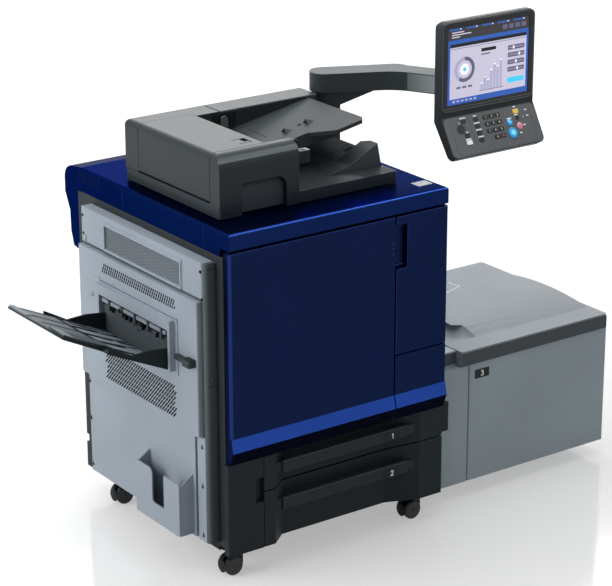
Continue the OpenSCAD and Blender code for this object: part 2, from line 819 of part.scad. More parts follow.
module output_tray() color("dimgray") {
    x0 = -exit_wall - exit_plate_t;
    y0 = mouth_y0 + tray_gap;
    y1 = mouth_y1 - tray_gap;
    wall_top = tray_z(tray_level) + tray_side_h;
    // root with its side walls
    along_y(y0, y1) polygon([[x0, tray_z(-x0)], [x0, tray_z(-x0) + tray_t],
        [-tray_wall, tray_z(tray_wall) + tray_t], [-tray_wall, tray_z(tray_wall)]]);
    for (y = [y0, y1 - tray_side_t])
        along_y(y, y + tray_side_t) polygon([[x0, tray_z(-x0)], [x0, wall_top - 8],
            [-tray_level, wall_top],
            [-tray_level - tray_drop, tray_z(tray_level + tray_drop) + rim_h],
            [-tray_wall, tray_z(tray_wall) + rim_h + 8], [-tray_wall, tray_z(tray_wall)]]);
    // extension plate with raised ribs and a cut corner at the back
    intersection() {
        along_y(y0 + wing_in, y1) polygon([[-tray_wall + eps, tray_z(tray_wall)],
            [-tray_wall + eps, tray_z(tray_wall) + tray_t],
            [-tray_out, tray_z(tray_out) + tray_t], [-tray_out, tray_z(tray_out) + tray_t / 2]]);
        along_z(0, body_h) polygon([[-tray_wall + 1, y0], [-tray_out, y0], [-tray_out, y1 - tray_cut],
            [-tray_out + 0.7 * tray_cut, y1], [-tray_wall + 1, y1]]);
    }
    for (i = [0:4]) {
        y = y0 + wing_in + 12 + i * (y1 - y0 - wing_in - 30) / 4;
        along_y(y, y + rib_w) polygon([[-tray_level, tray_z(tray_level) + tray_t - eps],
            [-tray_level - 20, tray_z(tray_level + 20) + tray_t + rib_h],
            [-tray_out + 30, tray_z(tray_out - 30) + tray_t + rib_h],
            [-tray_out + 10, tray_z(tray_out - 10) + tray_t - eps]]);
    }
}

module release_lever() color("gray") {
    z0 = collar_z0 + lever_up;
    y0 = side_y0 + lever_in;
    box([-exit_out - lever_out, y0 + lever_grip, z0],
        [-exit_out, mouth_y0 - collar_front - 12, z0 + lever_t]);
    along_z(z0 - 1, z0 + lever_h)
        round_rect([-exit_out - 1.7 * lever_out, y0], [-exit_out, y0 + lever_grip + eps], [8, 0, 0, 3]);
}

// ---- lower front ----

module drawer_column() color("dimgray")
    difference() {
        along_z(drawer_low, drawer_top)
            round_rect([-column_out, drawer_y], [column_w, core_y0], [5, 0, 0, 0]);
        box([column_w - notch_w, drawer_y - eps, split_z - notch_down],
            [column_w + eps, drawer_y + notch_deep, split_z + notch_up]);
    }

module docking_block() color("dimgray") {
    along_z(split_z + 20, drawer_top + 2)
        round_rect([body_w + 3, drawer_y + 8], [unit_x0 + 20, unit_y0], [3, 3, 0, 0]);
    // the two docking rails in the gap between the engine and the paper unit
    for (y = [unit_y0 + 100, unit_y1 - 160])
        box([body_w, y, base_z + 40], [unit_x0, y + 60, drawer_top]);
}

// the outline of a drawer front in plan, with its shallow hollow
module drawer_plan() {
    polygon([[drawer_x0, drawer_y], [drawer_x0 + recess_x0, drawer_y],
        [drawer_x0 + recess_x0 + bevel_x0, drawer_y + recess],
        [drawer_x1 - recess_x1 - bevel_x1, drawer_y + recess],
        [drawer_x1 - recess_x1, drawer_y], [drawer_x1, drawer_y],
        [drawer_x1, drawer_back], [drawer_x0, drawer_back]]);
}

// everything below the split between the drawers, which climbs along the hollow's right slope
module under_split(gap) {
    x1 = drawer_x1 - recess_x1;
    along_y(0, body_d) polygon([[0, 0], [body_w, 0], [body_w, split_z + split_step + gap],
        [x1, split_z + split_step + gap], [x1 - bevel_x1, split_z + gap], [0, split_z + gap]]);
}

module drawer_front_1() color("dimgray")
    difference() {
        along_z(drawer_low, drawer_top) drawer_plan();
        under_split(drawer_gap / 2);
    }

module drawer_front_2() color("dimgray")
    intersection() {
        along_z(drawer_low, drawer_top) drawer_plan();
        under_split(-drawer_gap / 2);
    }

// an open tray behind a drawer front
module drawer_tray(z0, z1) color("darkgray") {
    y1 = drawer_back + drawer_len;
    inner = [tray_wall_t, tray_wall_t, tray_wall_t];
    difference() {
        box([tray_x0, drawer_back, z0], [tray_x1, y1, z1]);
        box([tray_x0, drawer_back, z0] + inner, [tray_x1 - tray_wall_t, y1 - tray_wall_t, z1 + eps]);
    }
}

module drawer_tray_1() drawer_tray(tray_z_1, drawer_top - 14);

module drawer_tray_2() drawer_tray(tray_z_2, split_z - 14);

// a bar handle held at both ends of the hollow
module drawer_handle(top) color("dimgray")
    along_x(handle_x0, handle_x1)
        round_rect([drawer_y, top - handle_h], [drawer_y + handle_t, top], [3, 3, 3, 3]);

// brackets that carry a handle bar, shaped to the slopes of the hollow
module handle_mount(top) color("dimgray")
    intersection() {
        along_z(top - handle_h + 4, top - 4) polygon([
            [drawer_x0 + recess_x0 + 6 / recess * bevel_x0, drawer_y + 6],
            [drawer_x1 - recess_x1 - 6 / recess * bevel_x1, drawer_y + 6],
            [drawer_x1 - recess_x1 - bevel_x1, drawer_y + recess],
            [drawer_x0 + recess_x0 + bevel_x0, drawer_y + recess]]);
        union() {
            box([0, 0, 0], [handle_x0 + 20, body_d, body_h]);
            box([handle_x1 - 20, 0, 0], [body_w, body_d, body_h]);
        }
    }

module drawer_handle_1() { drawer_handle(handle_top_1); handle_mount(handle_top_1); }

module drawer_handle_2() { drawer_handle(handle_top_2); handle_mount(handle_top_2); }

// ---- doors ----

// a hinge pin that holds a door against the piece above or below it
module door_pin(x, z0, z1) {
    translate([x, door_t / 2, z0]) cylinder(d = 8, h = z1 - z0, $fn = 24);
}

module front_door() color("midnightblue") {
    along_z(strip_z1, door_z1)
        round_rect([0, 0], [door_w, door_t], [door_r, 2, 0, 3]);
    door_pin(pin_in, door_z1 - eps, skirt_z - run);
}

// the bright strip below a door, with its underside sloping back
module strip_profile()
    polygon([[0, strip_z1], [-strip_out, strip_z1 - strip_h], [drawer_y, shelf_z + 1],
        [door_t, shelf_z + 1], [door_t, strip_z1]]);

module door_strip() color("royalblue") {
    along_x(0, door_w) strip_profile();
    door_pin(pin_in, drawer_top + run, shelf_z + 1 + eps);
}

module toner_door() color("midnightblue") {
    difference() {
        along_z(toner_z0, door_z1)
            round_rect([door_w + door_gap, 0], [body_w, door_t], [2, 5, 0, 0]);
        box([door_w, -eps, grip_z1 - grip_h], [door_w + door_gap + grip_w, grip_deep, grip_z1]);
    }
    door_pin(body_w - pin_in, toner_z0 - door_gap + run, toner_z0 + eps);
    door_pin(body_w - pin_in, door_z1 - eps, skirt_z - run);
}

module lower_front_cover() color("midnightblue")
    along_z(strip_z1, toner_z0 - door_gap)
        round_rect([door_w + door_gap, 0], [body_w, core_y0], [2, 5, 0, 0]);

module cover_strip() color("royalblue") {
    along_x(door_w + door_gap, body_w) strip_profile();
    box([door_w + door_gap, door_t - eps, shelf_z + 1], [body_w, core_y0, strip_z1]);
}

// ---- document feeder ----

// the lifting grip's arch in a front view
module grip_arch() {
    x0 = feeder_x0 + lift_x;
    round_rect([x0, feeder_z0 - 2], [x0 + lift_w, feeder_z0 + lift_h], [0, 0, lift_r, lift_r / 4]);
}

module ramp_side(x1, h)
    polygon([[x1 - ramp_len, feeder_z1 - eps], [x1 - 0.6 * ramp_len, feeder_z1 + 0.25 * h],
        [x1 - 14, feeder_z1 + h], [x1, feeder_z1 - eps]]);

module feeder_base() color("dimgray") {
    difference() {
        along_z(feeder_z0, feeder_z1)
            round_rect([feeder_x0, feeder_y0], [feeder_x1, feeder_y1], [8, 8, 8, 8]);
        along_y(feeder_y0 - eps, feeder_y0 + lift_deep) grip_arch();
    }
    // the ramp at the far end of the paper exit
    x1 = feeder_x1 - 3;
    y0 = feeder_y0 + ramp_y;
    y1 = y0 + gusset_w;
    intersection() {
        along_y(y0, y1) ramp_side(x1, ramp_h);
        along_z(feeder_z0, feeder_top)
            polygon([[x1 - ramp_len - 1, y0], [x1, y0], [x1 - gusset_cut, y1], [x1 - ramp_len - 1, y1]]);
    }
    along_y(y1 - eps, feeder_y1 - rail_d - 1) ramp_side(x1, ramp_back_h);
    for (x = feeder_hinges) hinge_leaf(x, feeder_pin_y, feeder_pin_z, feeder_y1 - eps);
}

module feeder_housing() color("dimgray")
    difference() {
        intersection() {
            along_x(feeder_x0, housing_x1)
                round_rect([feeder_y0, feeder_z1], [feeder_y1, feeder_top], [0, 0, 12, housing_r]);
            along_y(feeder_y0, feeder_y1)
                round_rect([feeder_x0, feeder_z1], [housing_x1, feeder_top], [0, 0, 6, 20]);
        }
        along_y(feeder_y0 - eps, feeder_y0 + lift_deep) grip_arch();
        // the seat of the opening cover, around a lower core
        difference() {
            box([feeder_x0 - 1, feeder_y0 + flap_y0 - 1, feeder_z2],
                [flap_x1 + 1, flap_y1 + 1, feeder_top + 1]);
            box([feeder_x0 + flap_t + 8, feeder_y0 + flap_y0 + 12, feeder_z1],
                [flap_x1 + 1, flap_y1 - 12, feeder_top - flap_t - 8]);
        }
        flap_pins(flap_pin_d + 0.1, 0.5);
        // the feed mouth, open over the document tray and reaching under the cover
        along_y(feeder_y0 + flap_y0, feeder_y1 - rail_d) polygon([
            [mouth_x, doc_top(mouth_x) - doc_t - doc_clear],
            [housing_x1 + 1, doc_top(housing_x1 + 1) - doc_t - doc_clear],
            [housing_x1 + 1, feeder_top + 1], [flap_x1, feeder_top + 1],
            [flap_x1, feeder_top - flap_t - 7], [mouth_x, feeder_top - flap_t - 7]]);
    }

// the pins at both ends of the flap's lower edge
module flap_pins(d, more)
    for (y = [feeder_y0 + flap_y0 - flap_pin_l - more, flap_y1 - eps])
        translate([flap_pin_x, y, flap_pin_z]) rotate([-90, 0, 0])
            cylinder(d = d, h = flap_pin_l + more + eps, $fn = 24);

module feeder_flap() color("dimgray") {
    flap_pins(flap_pin_d, 0);
    difference() {
        along_y(feeder_y0 + flap_y0, flap_y1) difference() {
            round_rect([feeder_x0, feeder_z2 + 1], [flap_x1, feeder_top], [6, 0, 0, 20]);
            round_rect([feeder_x0 + flap_t, feeder_z2], [flap_x1 + 1, feeder_top - flap_t],
                [0, 0, 0, 12]);
        }
        // the latch's finger recess
        box([flap_x1 - 61, feeder_y0 + flap_y0 + 29, feeder_top - 7],
            [flap_x1 - 19, feeder_y0 + flap_y0 + 73, feeder_top + 1]);
    }
}

module feeder_rail() color("dimgray")
    along_x(housing_x1, feeder_x1 - 3)
        round_rect([feeder_y1 - rail_d, feeder_z1], [feeder_y1, feeder_top], [0, 0, 12, 4]);

// height of the document tray's top face
function doc_top(x) = doc_z + (x - housing_x1) * tan(doc_slope) + doc_t;

module document_tray() color("gray") {
    y_step = feeder_y0 + doc_y + doc_step;
    x_step = housing_x1 + doc_step_len;
    // the block under the tray that guides the sheets out
    block_x1 = doc_x1 - doc_under;
    along_y(y_step, feeder_y1 - rail_d) polygon([
        [housing_x1, doc_top(housing_x1) - 2.6 * doc_t],
        [housing_x1, doc_top(housing_x1) - doc_t + eps],
        [block_x1, doc_top(block_x1) - doc_t + eps],
        [block_x1 - doc_t, doc_top(block_x1 - doc_t) - doc_t - doc_under]]);
    // the sloping tray with its stepped front edge
    intersection() {
        along_y(feeder_y0, feeder_y1 - rail_d) polygon([
            [mouth_x, doc_top(mouth_x) - doc_t], [mouth_x, doc_top(mouth_x)],
            [feeder_x1, doc_top(feeder_x1)], [feeder_x1, doc_top(feeder_x1) - doc_t]]);
        along_z(0, feeder_top + body_h) polygon([
            [mouth_x + 1, feeder_y0 + flap_y0 + 1], [housing_x1, feeder_y0 + flap_y0 + 1],
            [housing_x1, y_step], [x_step, y_step],
            [x_step + doc_slant, feeder_y0 + doc_y], [doc_x1, feeder_y0 + doc_y],
            [doc_x1 + doc_t, feeder_y0 + doc_y + 1.4 * doc_t], [doc_x1 + doc_t, feeder_y1],
            [mouth_x + 1, feeder_y1]]);
    }
}

// ---- control panel ----

module arm_column() color("dimgray") {
    half = column_side / 2;
    // foot plate on the top cover, and the square column
    along_z(body_h, body_h + 8)
        round_rect([arm_x - half, arm_y - half - 10], [arm_x + half, arm_y + half + 10],
            [8, 8, 8, 8]);
    along_z(body_h + 8, arm_z0 - web_h - run)
        round_rect([arm_x - half, arm_y - half], [arm_x + half, arm_y + half], [10, 10, 10, 10]);
    // the pivot pin that carries the arm
    translate([arm_x, arm_y, arm_z0 - web_h - run - eps])
        cylinder(d = arm_pin_d, h = arm_pin_h, $fn = 48);
}

// a bar with round ends between two plan points
module bar(a, b, w, z0, z1) {
    dir = atan2(b.y - a.y, b.x - a.x);
    along_z(z0, z1) polygon(concat(arc(b, w / 2, dir - 90, dir + 90, bar_n),
        arc(a, w / 2, dir + 90, dir + 270, bar_n)));
}

module swing_arm() color("gray") {
    root = [arm_x, arm_y];
    elbow = [elbow_x, elbow_y];
    wrist = [wrist_x, wrist_y];
    dir_2 = [cos(arm_dir_2), sin(arm_dir_2)];
    fork_end = wrist - (knuckle_r + 6) * dir_2;
    bar(root, elbow, arm_w, arm_z0, arm_top);
    // the rounded inner side of the bend
    side_1 = [sin(arm_dir_1), -cos(arm_dir_1)];
    dir_1 = [cos(arm_dir_1), sin(arm_dir_1)];
    turn = arm_dir_1 - arm_dir_2;
    r_1 = arm_w / 2 + bend_r;
    r_2 = arm_w / 2 - 5 + bend_r;
    hub = elbow + r_1 * side_1 - (r_2 - r_1 * cos(turn)) / sin(turn) * dir_1;
    along_z(arm_z0, arm_top) polygon(concat([elbow],
        arc(hub, bend_r, arm_dir_1 + 90, arm_dir_2 + 90, bar_n)));
    // the second part ends square, in a fork of two ears that holds the panel's knuckle
    difference() {
        bar(elbow, wrist, arm_w - 10, arm_z0, arm_top);
        translate([fork_end.x, fork_end.y, arm_z0 - 1]) rotate(arm_dir_2)
            translate([0, -arm_w, 0]) cube([arm_w * 2, arm_w * 2, arm_t + 2]);
    }
    for (z = [arm_z0, arm_top - fork_t])
        bar(fork_end - 6 * dir_2, wrist, knuckle_r * 2, z, z + fork_t);
    // the web under the root, with the bore for the column's pin
    half = column_side / 2;
    difference() {
        translate([arm_x, arm_y, 0]) rotate(arm_dir_1) {
            along_y(-half, half) polygon([[0, arm_z0 + eps], [0, arm_z0 - web_h],
                [half, arm_z0 - web_h], [150, arm_z0 + eps]]);
            along_z(arm_z0 - web_h, arm_z0 + eps) polygon(arc([eps, 0], half, 90, 270, bar_n));
        }
        translate([arm_x, arm_y, arm_z0 - web_h - 1])
            cylinder(d = arm_pin_d + 0.1, h = arm_pin_h + 2, $fn = 48);
    }
}

// the block between the arm and the panel: it turns in the arm, and the panel tilts on it
module panel_knuckle() color("dimgray") {
    z0 = arm_z0 + fork_t + run;
    h = arm_t - 2 * fork_t - 2 * run;
    translate([wrist_x, wrist_y, z0]) cylinder(r = knuckle_r - 6, h = h, $fn = 40);
    box([wrist_x - 14, tilt_y - 4, z0], [wrist_x + 14, wrist_y, z0 + h]);
    // the tilt pin
    translate([wrist_x - ear_x1, tilt_y, tilt_z]) rotate([0, 90, 0])
        cylinder(d = tilt_pin_d, h = 2 * ear_x1, $fn = 32);
}

// the panel in a side view: an upright part over a leaning key deck
module panel_profile() {
    top = bend_z + panel_h;
    lean = [-sin(deck_lean), -cos(deck_lean)];
    back = [cos(deck_lean), -sin(deck_lean)];
    f0 = [panel_y0, bend_z];
    f1 = f0 + deck_len * lean;
    polygon(concat([f0, f1, f1 + (panel_t - 8) * back],
        [[panel_y1, bend_z - 16], [panel_y1, top - 12], [panel_y1 - 10, top], [panel_y0 + 6, top],
         [panel_y0, top - 6]]));
}

module panel_housing() color("dimgray") {
    difference() {
        intersection() {
            along_x(panel_x0, panel_x0 + panel_w) panel_profile();
            along_y(-body_d, body_d)
                round_rect([panel_x0, bend_z - deck_len - panel_t],
                    [panel_x0 + panel_w, bend_z + panel_h], [0, 0, panel_r, panel_r]);
        }
        // the rounded lower corners of the key deck
        for (side = [0, 1])
            on_deck(side * panel_w, deck_len) mirror([side, 0, 0]) translate([0, 0, -2 * panel_t])
                difference() {
                    translate([-1, -1, 0]) cube([deck_r + 1, deck_r + 1, 3 * panel_t]);
                    translate([deck_r, deck_r, -1]) cylinder(r = deck_r, h = 3 * panel_t + 2, $fn = 64);
                }
        // the screen's pocket
        box([wrist_x - screen_w / 2 - run, panel_y0 - eps, bend_z + screen_up - run],
            [wrist_x + screen_w / 2 + run, panel_y0 + 3, bend_z + screen_up + screen_h + run]);
    }
    // the ears that hold the tilt pin
    for (x = [wrist_x - ear_x1, wrist_x + ear_x0])
        difference() {
            along_x(x, x + ear_x1 - ear_x0)
                round_rect([panel_y1 - eps, tilt_z - ear_r], [tilt_y + ear_r, tilt_z + ear_r],
                    [0, ear_r, ear_r, 0]);
            translate([x - 1, tilt_y, tilt_z]) rotate([0, 90, 0])
                cylinder(d = tilt_pin_d + 0.1, h = ear_x1 - ear_x0 + 2, $fn = 32);
        }
}

module panel_screen() color("lightblue")
    box([wrist_x - screen_w / 2, panel_y0 + 1, bend_z + screen_up],
        [wrist_x + screen_w / 2, panel_y0 + 3, bend_z + screen_up + screen_h]);

// places something on the key deck: u to the right, v down the deck from the bend
module on_deck(u, v) {
    translate([panel_x0 + u, panel_y0, bend_z]) rotate([-deck_lean, 0, 0])
        translate([0, 0, -v]) rotate([90, 0, 0]) children();
}

// a key in a row of the deck: 0 is the first row; r rounds its corners
module key(u, row, r = 2)
    on_deck(u, keypad_y + row * row_pitch) linear_extrude(key_t)
        round_rect([-key_w / 2, -key_h / 2], [key_w / 2, key_h / 2], [r, r, r, r]);

module round_key(u, row, d)
    on_deck(u, keypad_y + row * row_pitch) cylinder(d = d, h = key_t, $fn = 48);

module panel_keys() color("silver") {
    // the number keys, and the column beside them
    for (i = [0:2], row = [0:2]) key(keypad_x + i * key_pitch, row);
    for (i = [1, 2]) key(keypad_x + i * key_pitch, 3);
    for (row = [0:3]) key(column_x, row, key_h / 2);
    // the dial and the keys around it
    for (row = [0, 2, 3]) key(side_key_x, row, row == 3 ? 2 : key_h / 2);
    round_key(dial_x, 1, dial_d);
    // the start, reset and stop keys, and the two above them
    round_key(start_x, 2.88, start_d);
    round_key(start_x - 1, 1.38, small_key_d);
    round_key(action_x, 2.1, small_key_d);
    key(action_x, 0);
    round_key(action_x, 0.95, key_h + 1);
}

// ---- paper unit ----

module paper_unit_shell() color("lightsteelblue") {
    difference() {
        box([unit_x0, unit_y0 + unit_cover_t, unit_z0], [unit_x1, unit_y1, unit_top]);
        box([well_x0, well_y0, unit_z0 + well_wall], [well_x1, well_y1, unit_top + eps]);
    }
    // the lid's hinges on the back wall
    for (x = lid_hinges) {
        hinge_seat(x, lid_pin_y, lid_pin_z, unit_top - 30);
        box([x - hinge_w / 2 - cheek_t - run, unit_y1 - eps, unit_top - 30],
            [x + hinge_w / 2 + cheek_t + run, lid_pin_y + hinge_r, unit_top - 14]);
    }
}

module paper_unit_front() color("lightsteelblue")
    along_z(unit_z0, unit_top)
        round_rect([unit_x0 + unit_side_w + unit_seam, unit_y0], [unit_x1, unit_y0 + unit_cover_t],
            [3, 4, 0, 0]);

module paper_unit_side() color("lightsteelblue") {
    along_z(unit_z0, unit_top)
        round_rect([unit_x0, unit_y0], [unit_x0 + unit_side_w, unit_y0 + unit_cover_t],
            [3, 3, 0, 0]);
    // the fixed top beside the lid
    along_y(unit_y0 + 20, unit_y1)
        round_rect([unit_x0, unit_top], [lid_x0 - door_gap, lid_z1], [0, 0, 2, 4]);
}

module paper_unit_lid() color("lightsteelblue") {
    y0 = lid_y0 + crown_y - crown_side;
    y1 = lid_y0 + crown_y + crown_d + crown_side;
    // the crown is a shallow arch
    half = (y1 - y0) / 2;
    r = (half * half + crown_h * crown_h) / (2 * crown_h);
    lean = asin(half / r);
    difference() {
        union() {
            along_z(lid_z0, lid_z1)
                round_rect([lid_x0, lid_y0], [lid_x1, unit_y1], [6, 8, 8, 6]);
            along_x(lid_x0 + crown_x, lid_x1 - 12) difference() {
                polygon(arc([y0 + half, lid_z1 + crown_h - r], r, 90 - lean, 90 + lean, bar_n));
                square([y1 + 1, lid_z1 - 2]);
            }
        }
        // the finger scoop beside the crown's left end
        bottom = lid_z1 - scoop_deep;
        mid = lid_x0 + scoop_x - sqrt(2 * scoop_r * scoop_deep - scoop_deep * scoop_deep);
        along_y(y0 + 2, y1 - 2) polygon(concat([[lid_x0 - 1, lid_z1 + crown_h], [lid_x0 - 1, bottom]],
            arc([mid, bottom + scoop_r], scoop_r, 270, 325, bar_n)));
    }
    for (x = lid_hinges) hinge_leaf(x, lid_pin_y, lid_pin_z, unit_y1 - eps);
}

// ---- feet and casters ----

module caster_fork(x, y) color("dimgray") {
    axle_z = wheel_d / 2;
    top = base_z;
    // swivel disc, neck between the wheels, and the axle
    translate([x, y, top - 9]) cylinder(d = 44, h = 9 - run, $fn = 40);
    box([x - trail - 7, y - wheel_gap / 2 + 1, axle_z - 7], [x + 16, y + wheel_gap / 2 - 1, top - 8]);
    translate([x - trail, y + wheel_gap / 2 + wheel_w + 1, axle_z]) rotate([90, 0, 0])
        cylinder(d = 9, h = wheel_gap + 2 * wheel_w + 2, $fn = 24);
}

module caster_wheels(x, y) color("black")
    for (side = [-1, 1])
        translate([x - trail, y + side * (wheel_gap + wheel_w) / 2 + wheel_w / 2, wheel_d / 2])
            rotate([90, 0, 0]) difference() {
                union() {
                    cylinder(d = wheel_d - 6, h = wheel_w, $fn = 64);
                    translate([0, 0, 3]) cylinder(d = wheel_d, h = wheel_w - 6, $fn = 64);
                }
                translate([0, 0, -eps]) cylinder(d = 9.1, h = wheel_w + 1, $fn = 24);
            }

module caster_fork_front_left() caster_fork(caster_x, caster_y);
module caster_fork_front_right() caster_fork(caster_right_x, caster_y);
module caster_fork_back_left() caster_fork(caster_x, caster_back_y);
module caster_fork_back_right() caster_fork(caster_right_x, caster_back_y);
module caster_wheels_front_left() caster_wheels(caster_x, caster_y);
module caster_wheels_front_right() caster_wheels(caster_right_x, caster_y);
module caster_wheels_back_left() caster_wheels(caster_x, caster_back_y);
module caster_wheels_back_right() caster_wheels(caster_right_x, caster_back_y);

// screwed feet: two under the engine's front, hanging clear, and four that carry the paper unit
module foot(z) {
    translate([0, 0, z]) cylinder(d = foot_d, h = foot_t, $fn = 36);
    translate([0, 0, z + foot_t - eps])
        cylinder(d = stem_d, h = (z > 0 ? base_z : unit_z0) - z - foot_t + eps, $fn = 24);
}

module levelling_feet() color("dimgray") {
    for (x = [body_w - foot_in, foot_in])
        translate([x, foot_y, 0]) foot(foot_lift);
    for (x = [unit_x0 + unit_foot_in, unit_x1 - unit_foot_in],
         y = [unit_y0 + unit_foot_y, unit_y1 - unit_foot_in])
        translate([x, y, 0]) foot(0);
}

place() base_plate();
place() side_frame_left();
place() side_frame_right();
place() back_panel();
place() engine_core();
place() top_cover();
place() scan_glass();
place() rear_duct();
place() upper_side_cover();
place() exit_panel();
place() exit_collar();
place() exit_wall_plate();
place() lower_side_cover();
place() corner_cover();
place() brochure_pocket();
place() output_tray();
place() release_lever();
place() drawer_column();
place() docking_block();
place() front_door();
place() door_strip();
place() toner_door();
place() lower_front_cover();
place() cover_strip();
place() drawer_front_1();
place() drawer_tray_1();
place() drawer_handle_1();
place() drawer_front_2();
place() drawer_tray_2();
place() drawer_handle_2();
place() feeder_base();
place() feeder_housing();
place() feeder_flap();
place() feeder_rail();
place() document_tray();
place() arm_column();
place() swing_arm();
place() panel_knuckle();
place() panel_housing();
place() panel_screen();
place() panel_keys();
place() paper_unit_shell();
place() paper_unit_front();
place() paper_unit_side();
place() paper_unit_lid();
place() caster_fork_front_left();
place() caster_wheels_front_left();
place() caster_fork_front_right();
place() caster_wheels_front_right();
place() caster_fork_back_left();
place() caster_wheels_back_left();
place() caster_fork_back_right();
place() caster_wheels_back_right();
place() levelling_feet();
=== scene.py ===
import math

import bmesh
import bpy
from mathutils import Matrix, Vector


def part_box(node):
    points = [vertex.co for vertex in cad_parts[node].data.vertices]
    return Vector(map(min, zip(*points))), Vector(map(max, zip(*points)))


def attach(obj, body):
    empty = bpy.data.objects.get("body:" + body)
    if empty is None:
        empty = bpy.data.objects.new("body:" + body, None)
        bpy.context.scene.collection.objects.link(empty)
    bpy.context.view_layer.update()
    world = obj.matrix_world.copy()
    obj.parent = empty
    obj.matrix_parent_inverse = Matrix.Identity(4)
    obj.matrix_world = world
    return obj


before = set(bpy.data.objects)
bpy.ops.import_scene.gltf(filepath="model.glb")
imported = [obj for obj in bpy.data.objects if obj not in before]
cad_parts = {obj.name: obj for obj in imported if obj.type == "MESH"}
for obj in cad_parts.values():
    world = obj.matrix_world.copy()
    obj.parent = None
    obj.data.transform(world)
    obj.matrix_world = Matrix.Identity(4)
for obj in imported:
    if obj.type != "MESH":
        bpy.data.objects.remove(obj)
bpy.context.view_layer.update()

mm = 0.001
scene = bpy.context.scene
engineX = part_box("top_cover")[0].x    # left edge of the engine
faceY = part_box("toner_door")[0].y     # face of the doors
corners = ("front_left", "front_right", "back_left", "back_right")


def spot(x, y, z):
    # millimetres from the engine's left edge, the doors' face and the floor
    return Vector((engineX + x * mm, faceY + y * mm, z * mm))


print("stage: frame loaded")

brightEdge = (0.50, 0.54, 0.75)    # tints of what glances off at a low angle
coolEdge = (0.84, 0.95, 1.0)


def painted(colour, **other):    # metallic paint with flakes
    usual = dict(rough=0.36, grain=0.6, bump=0.02, metal=1.0, flake=0.2, edgeTint=brightEdge)
    return dict(usual, colour=colour, **other)


def coated(colour, specular, **other):    # textured paint on sheet metal
    return dict(dict(rough=0.5, grain=0.9, bump=0.06), colour=colour, specular=specular, **other)


def moulded(colour, specular, **other):    # grained plastic
    return dict(dict(rough=0.5, grain=0.8, bump=0.10), colour=colour, specular=specular, **other)


def keyCap(colour, rough=0.4, grain=0.5, bump=0.04, **other):    # smooth caps and printed marks
    return dict(colour=colour, rough=rough, grain=grain, bump=bump, **other)


def lit(colour, glow=0.8):    # a patch of the lit screen
    return dict(colour=colour, rough=0.4, grain=0.5, bump=0.0, specular=0.2, glow=glow)


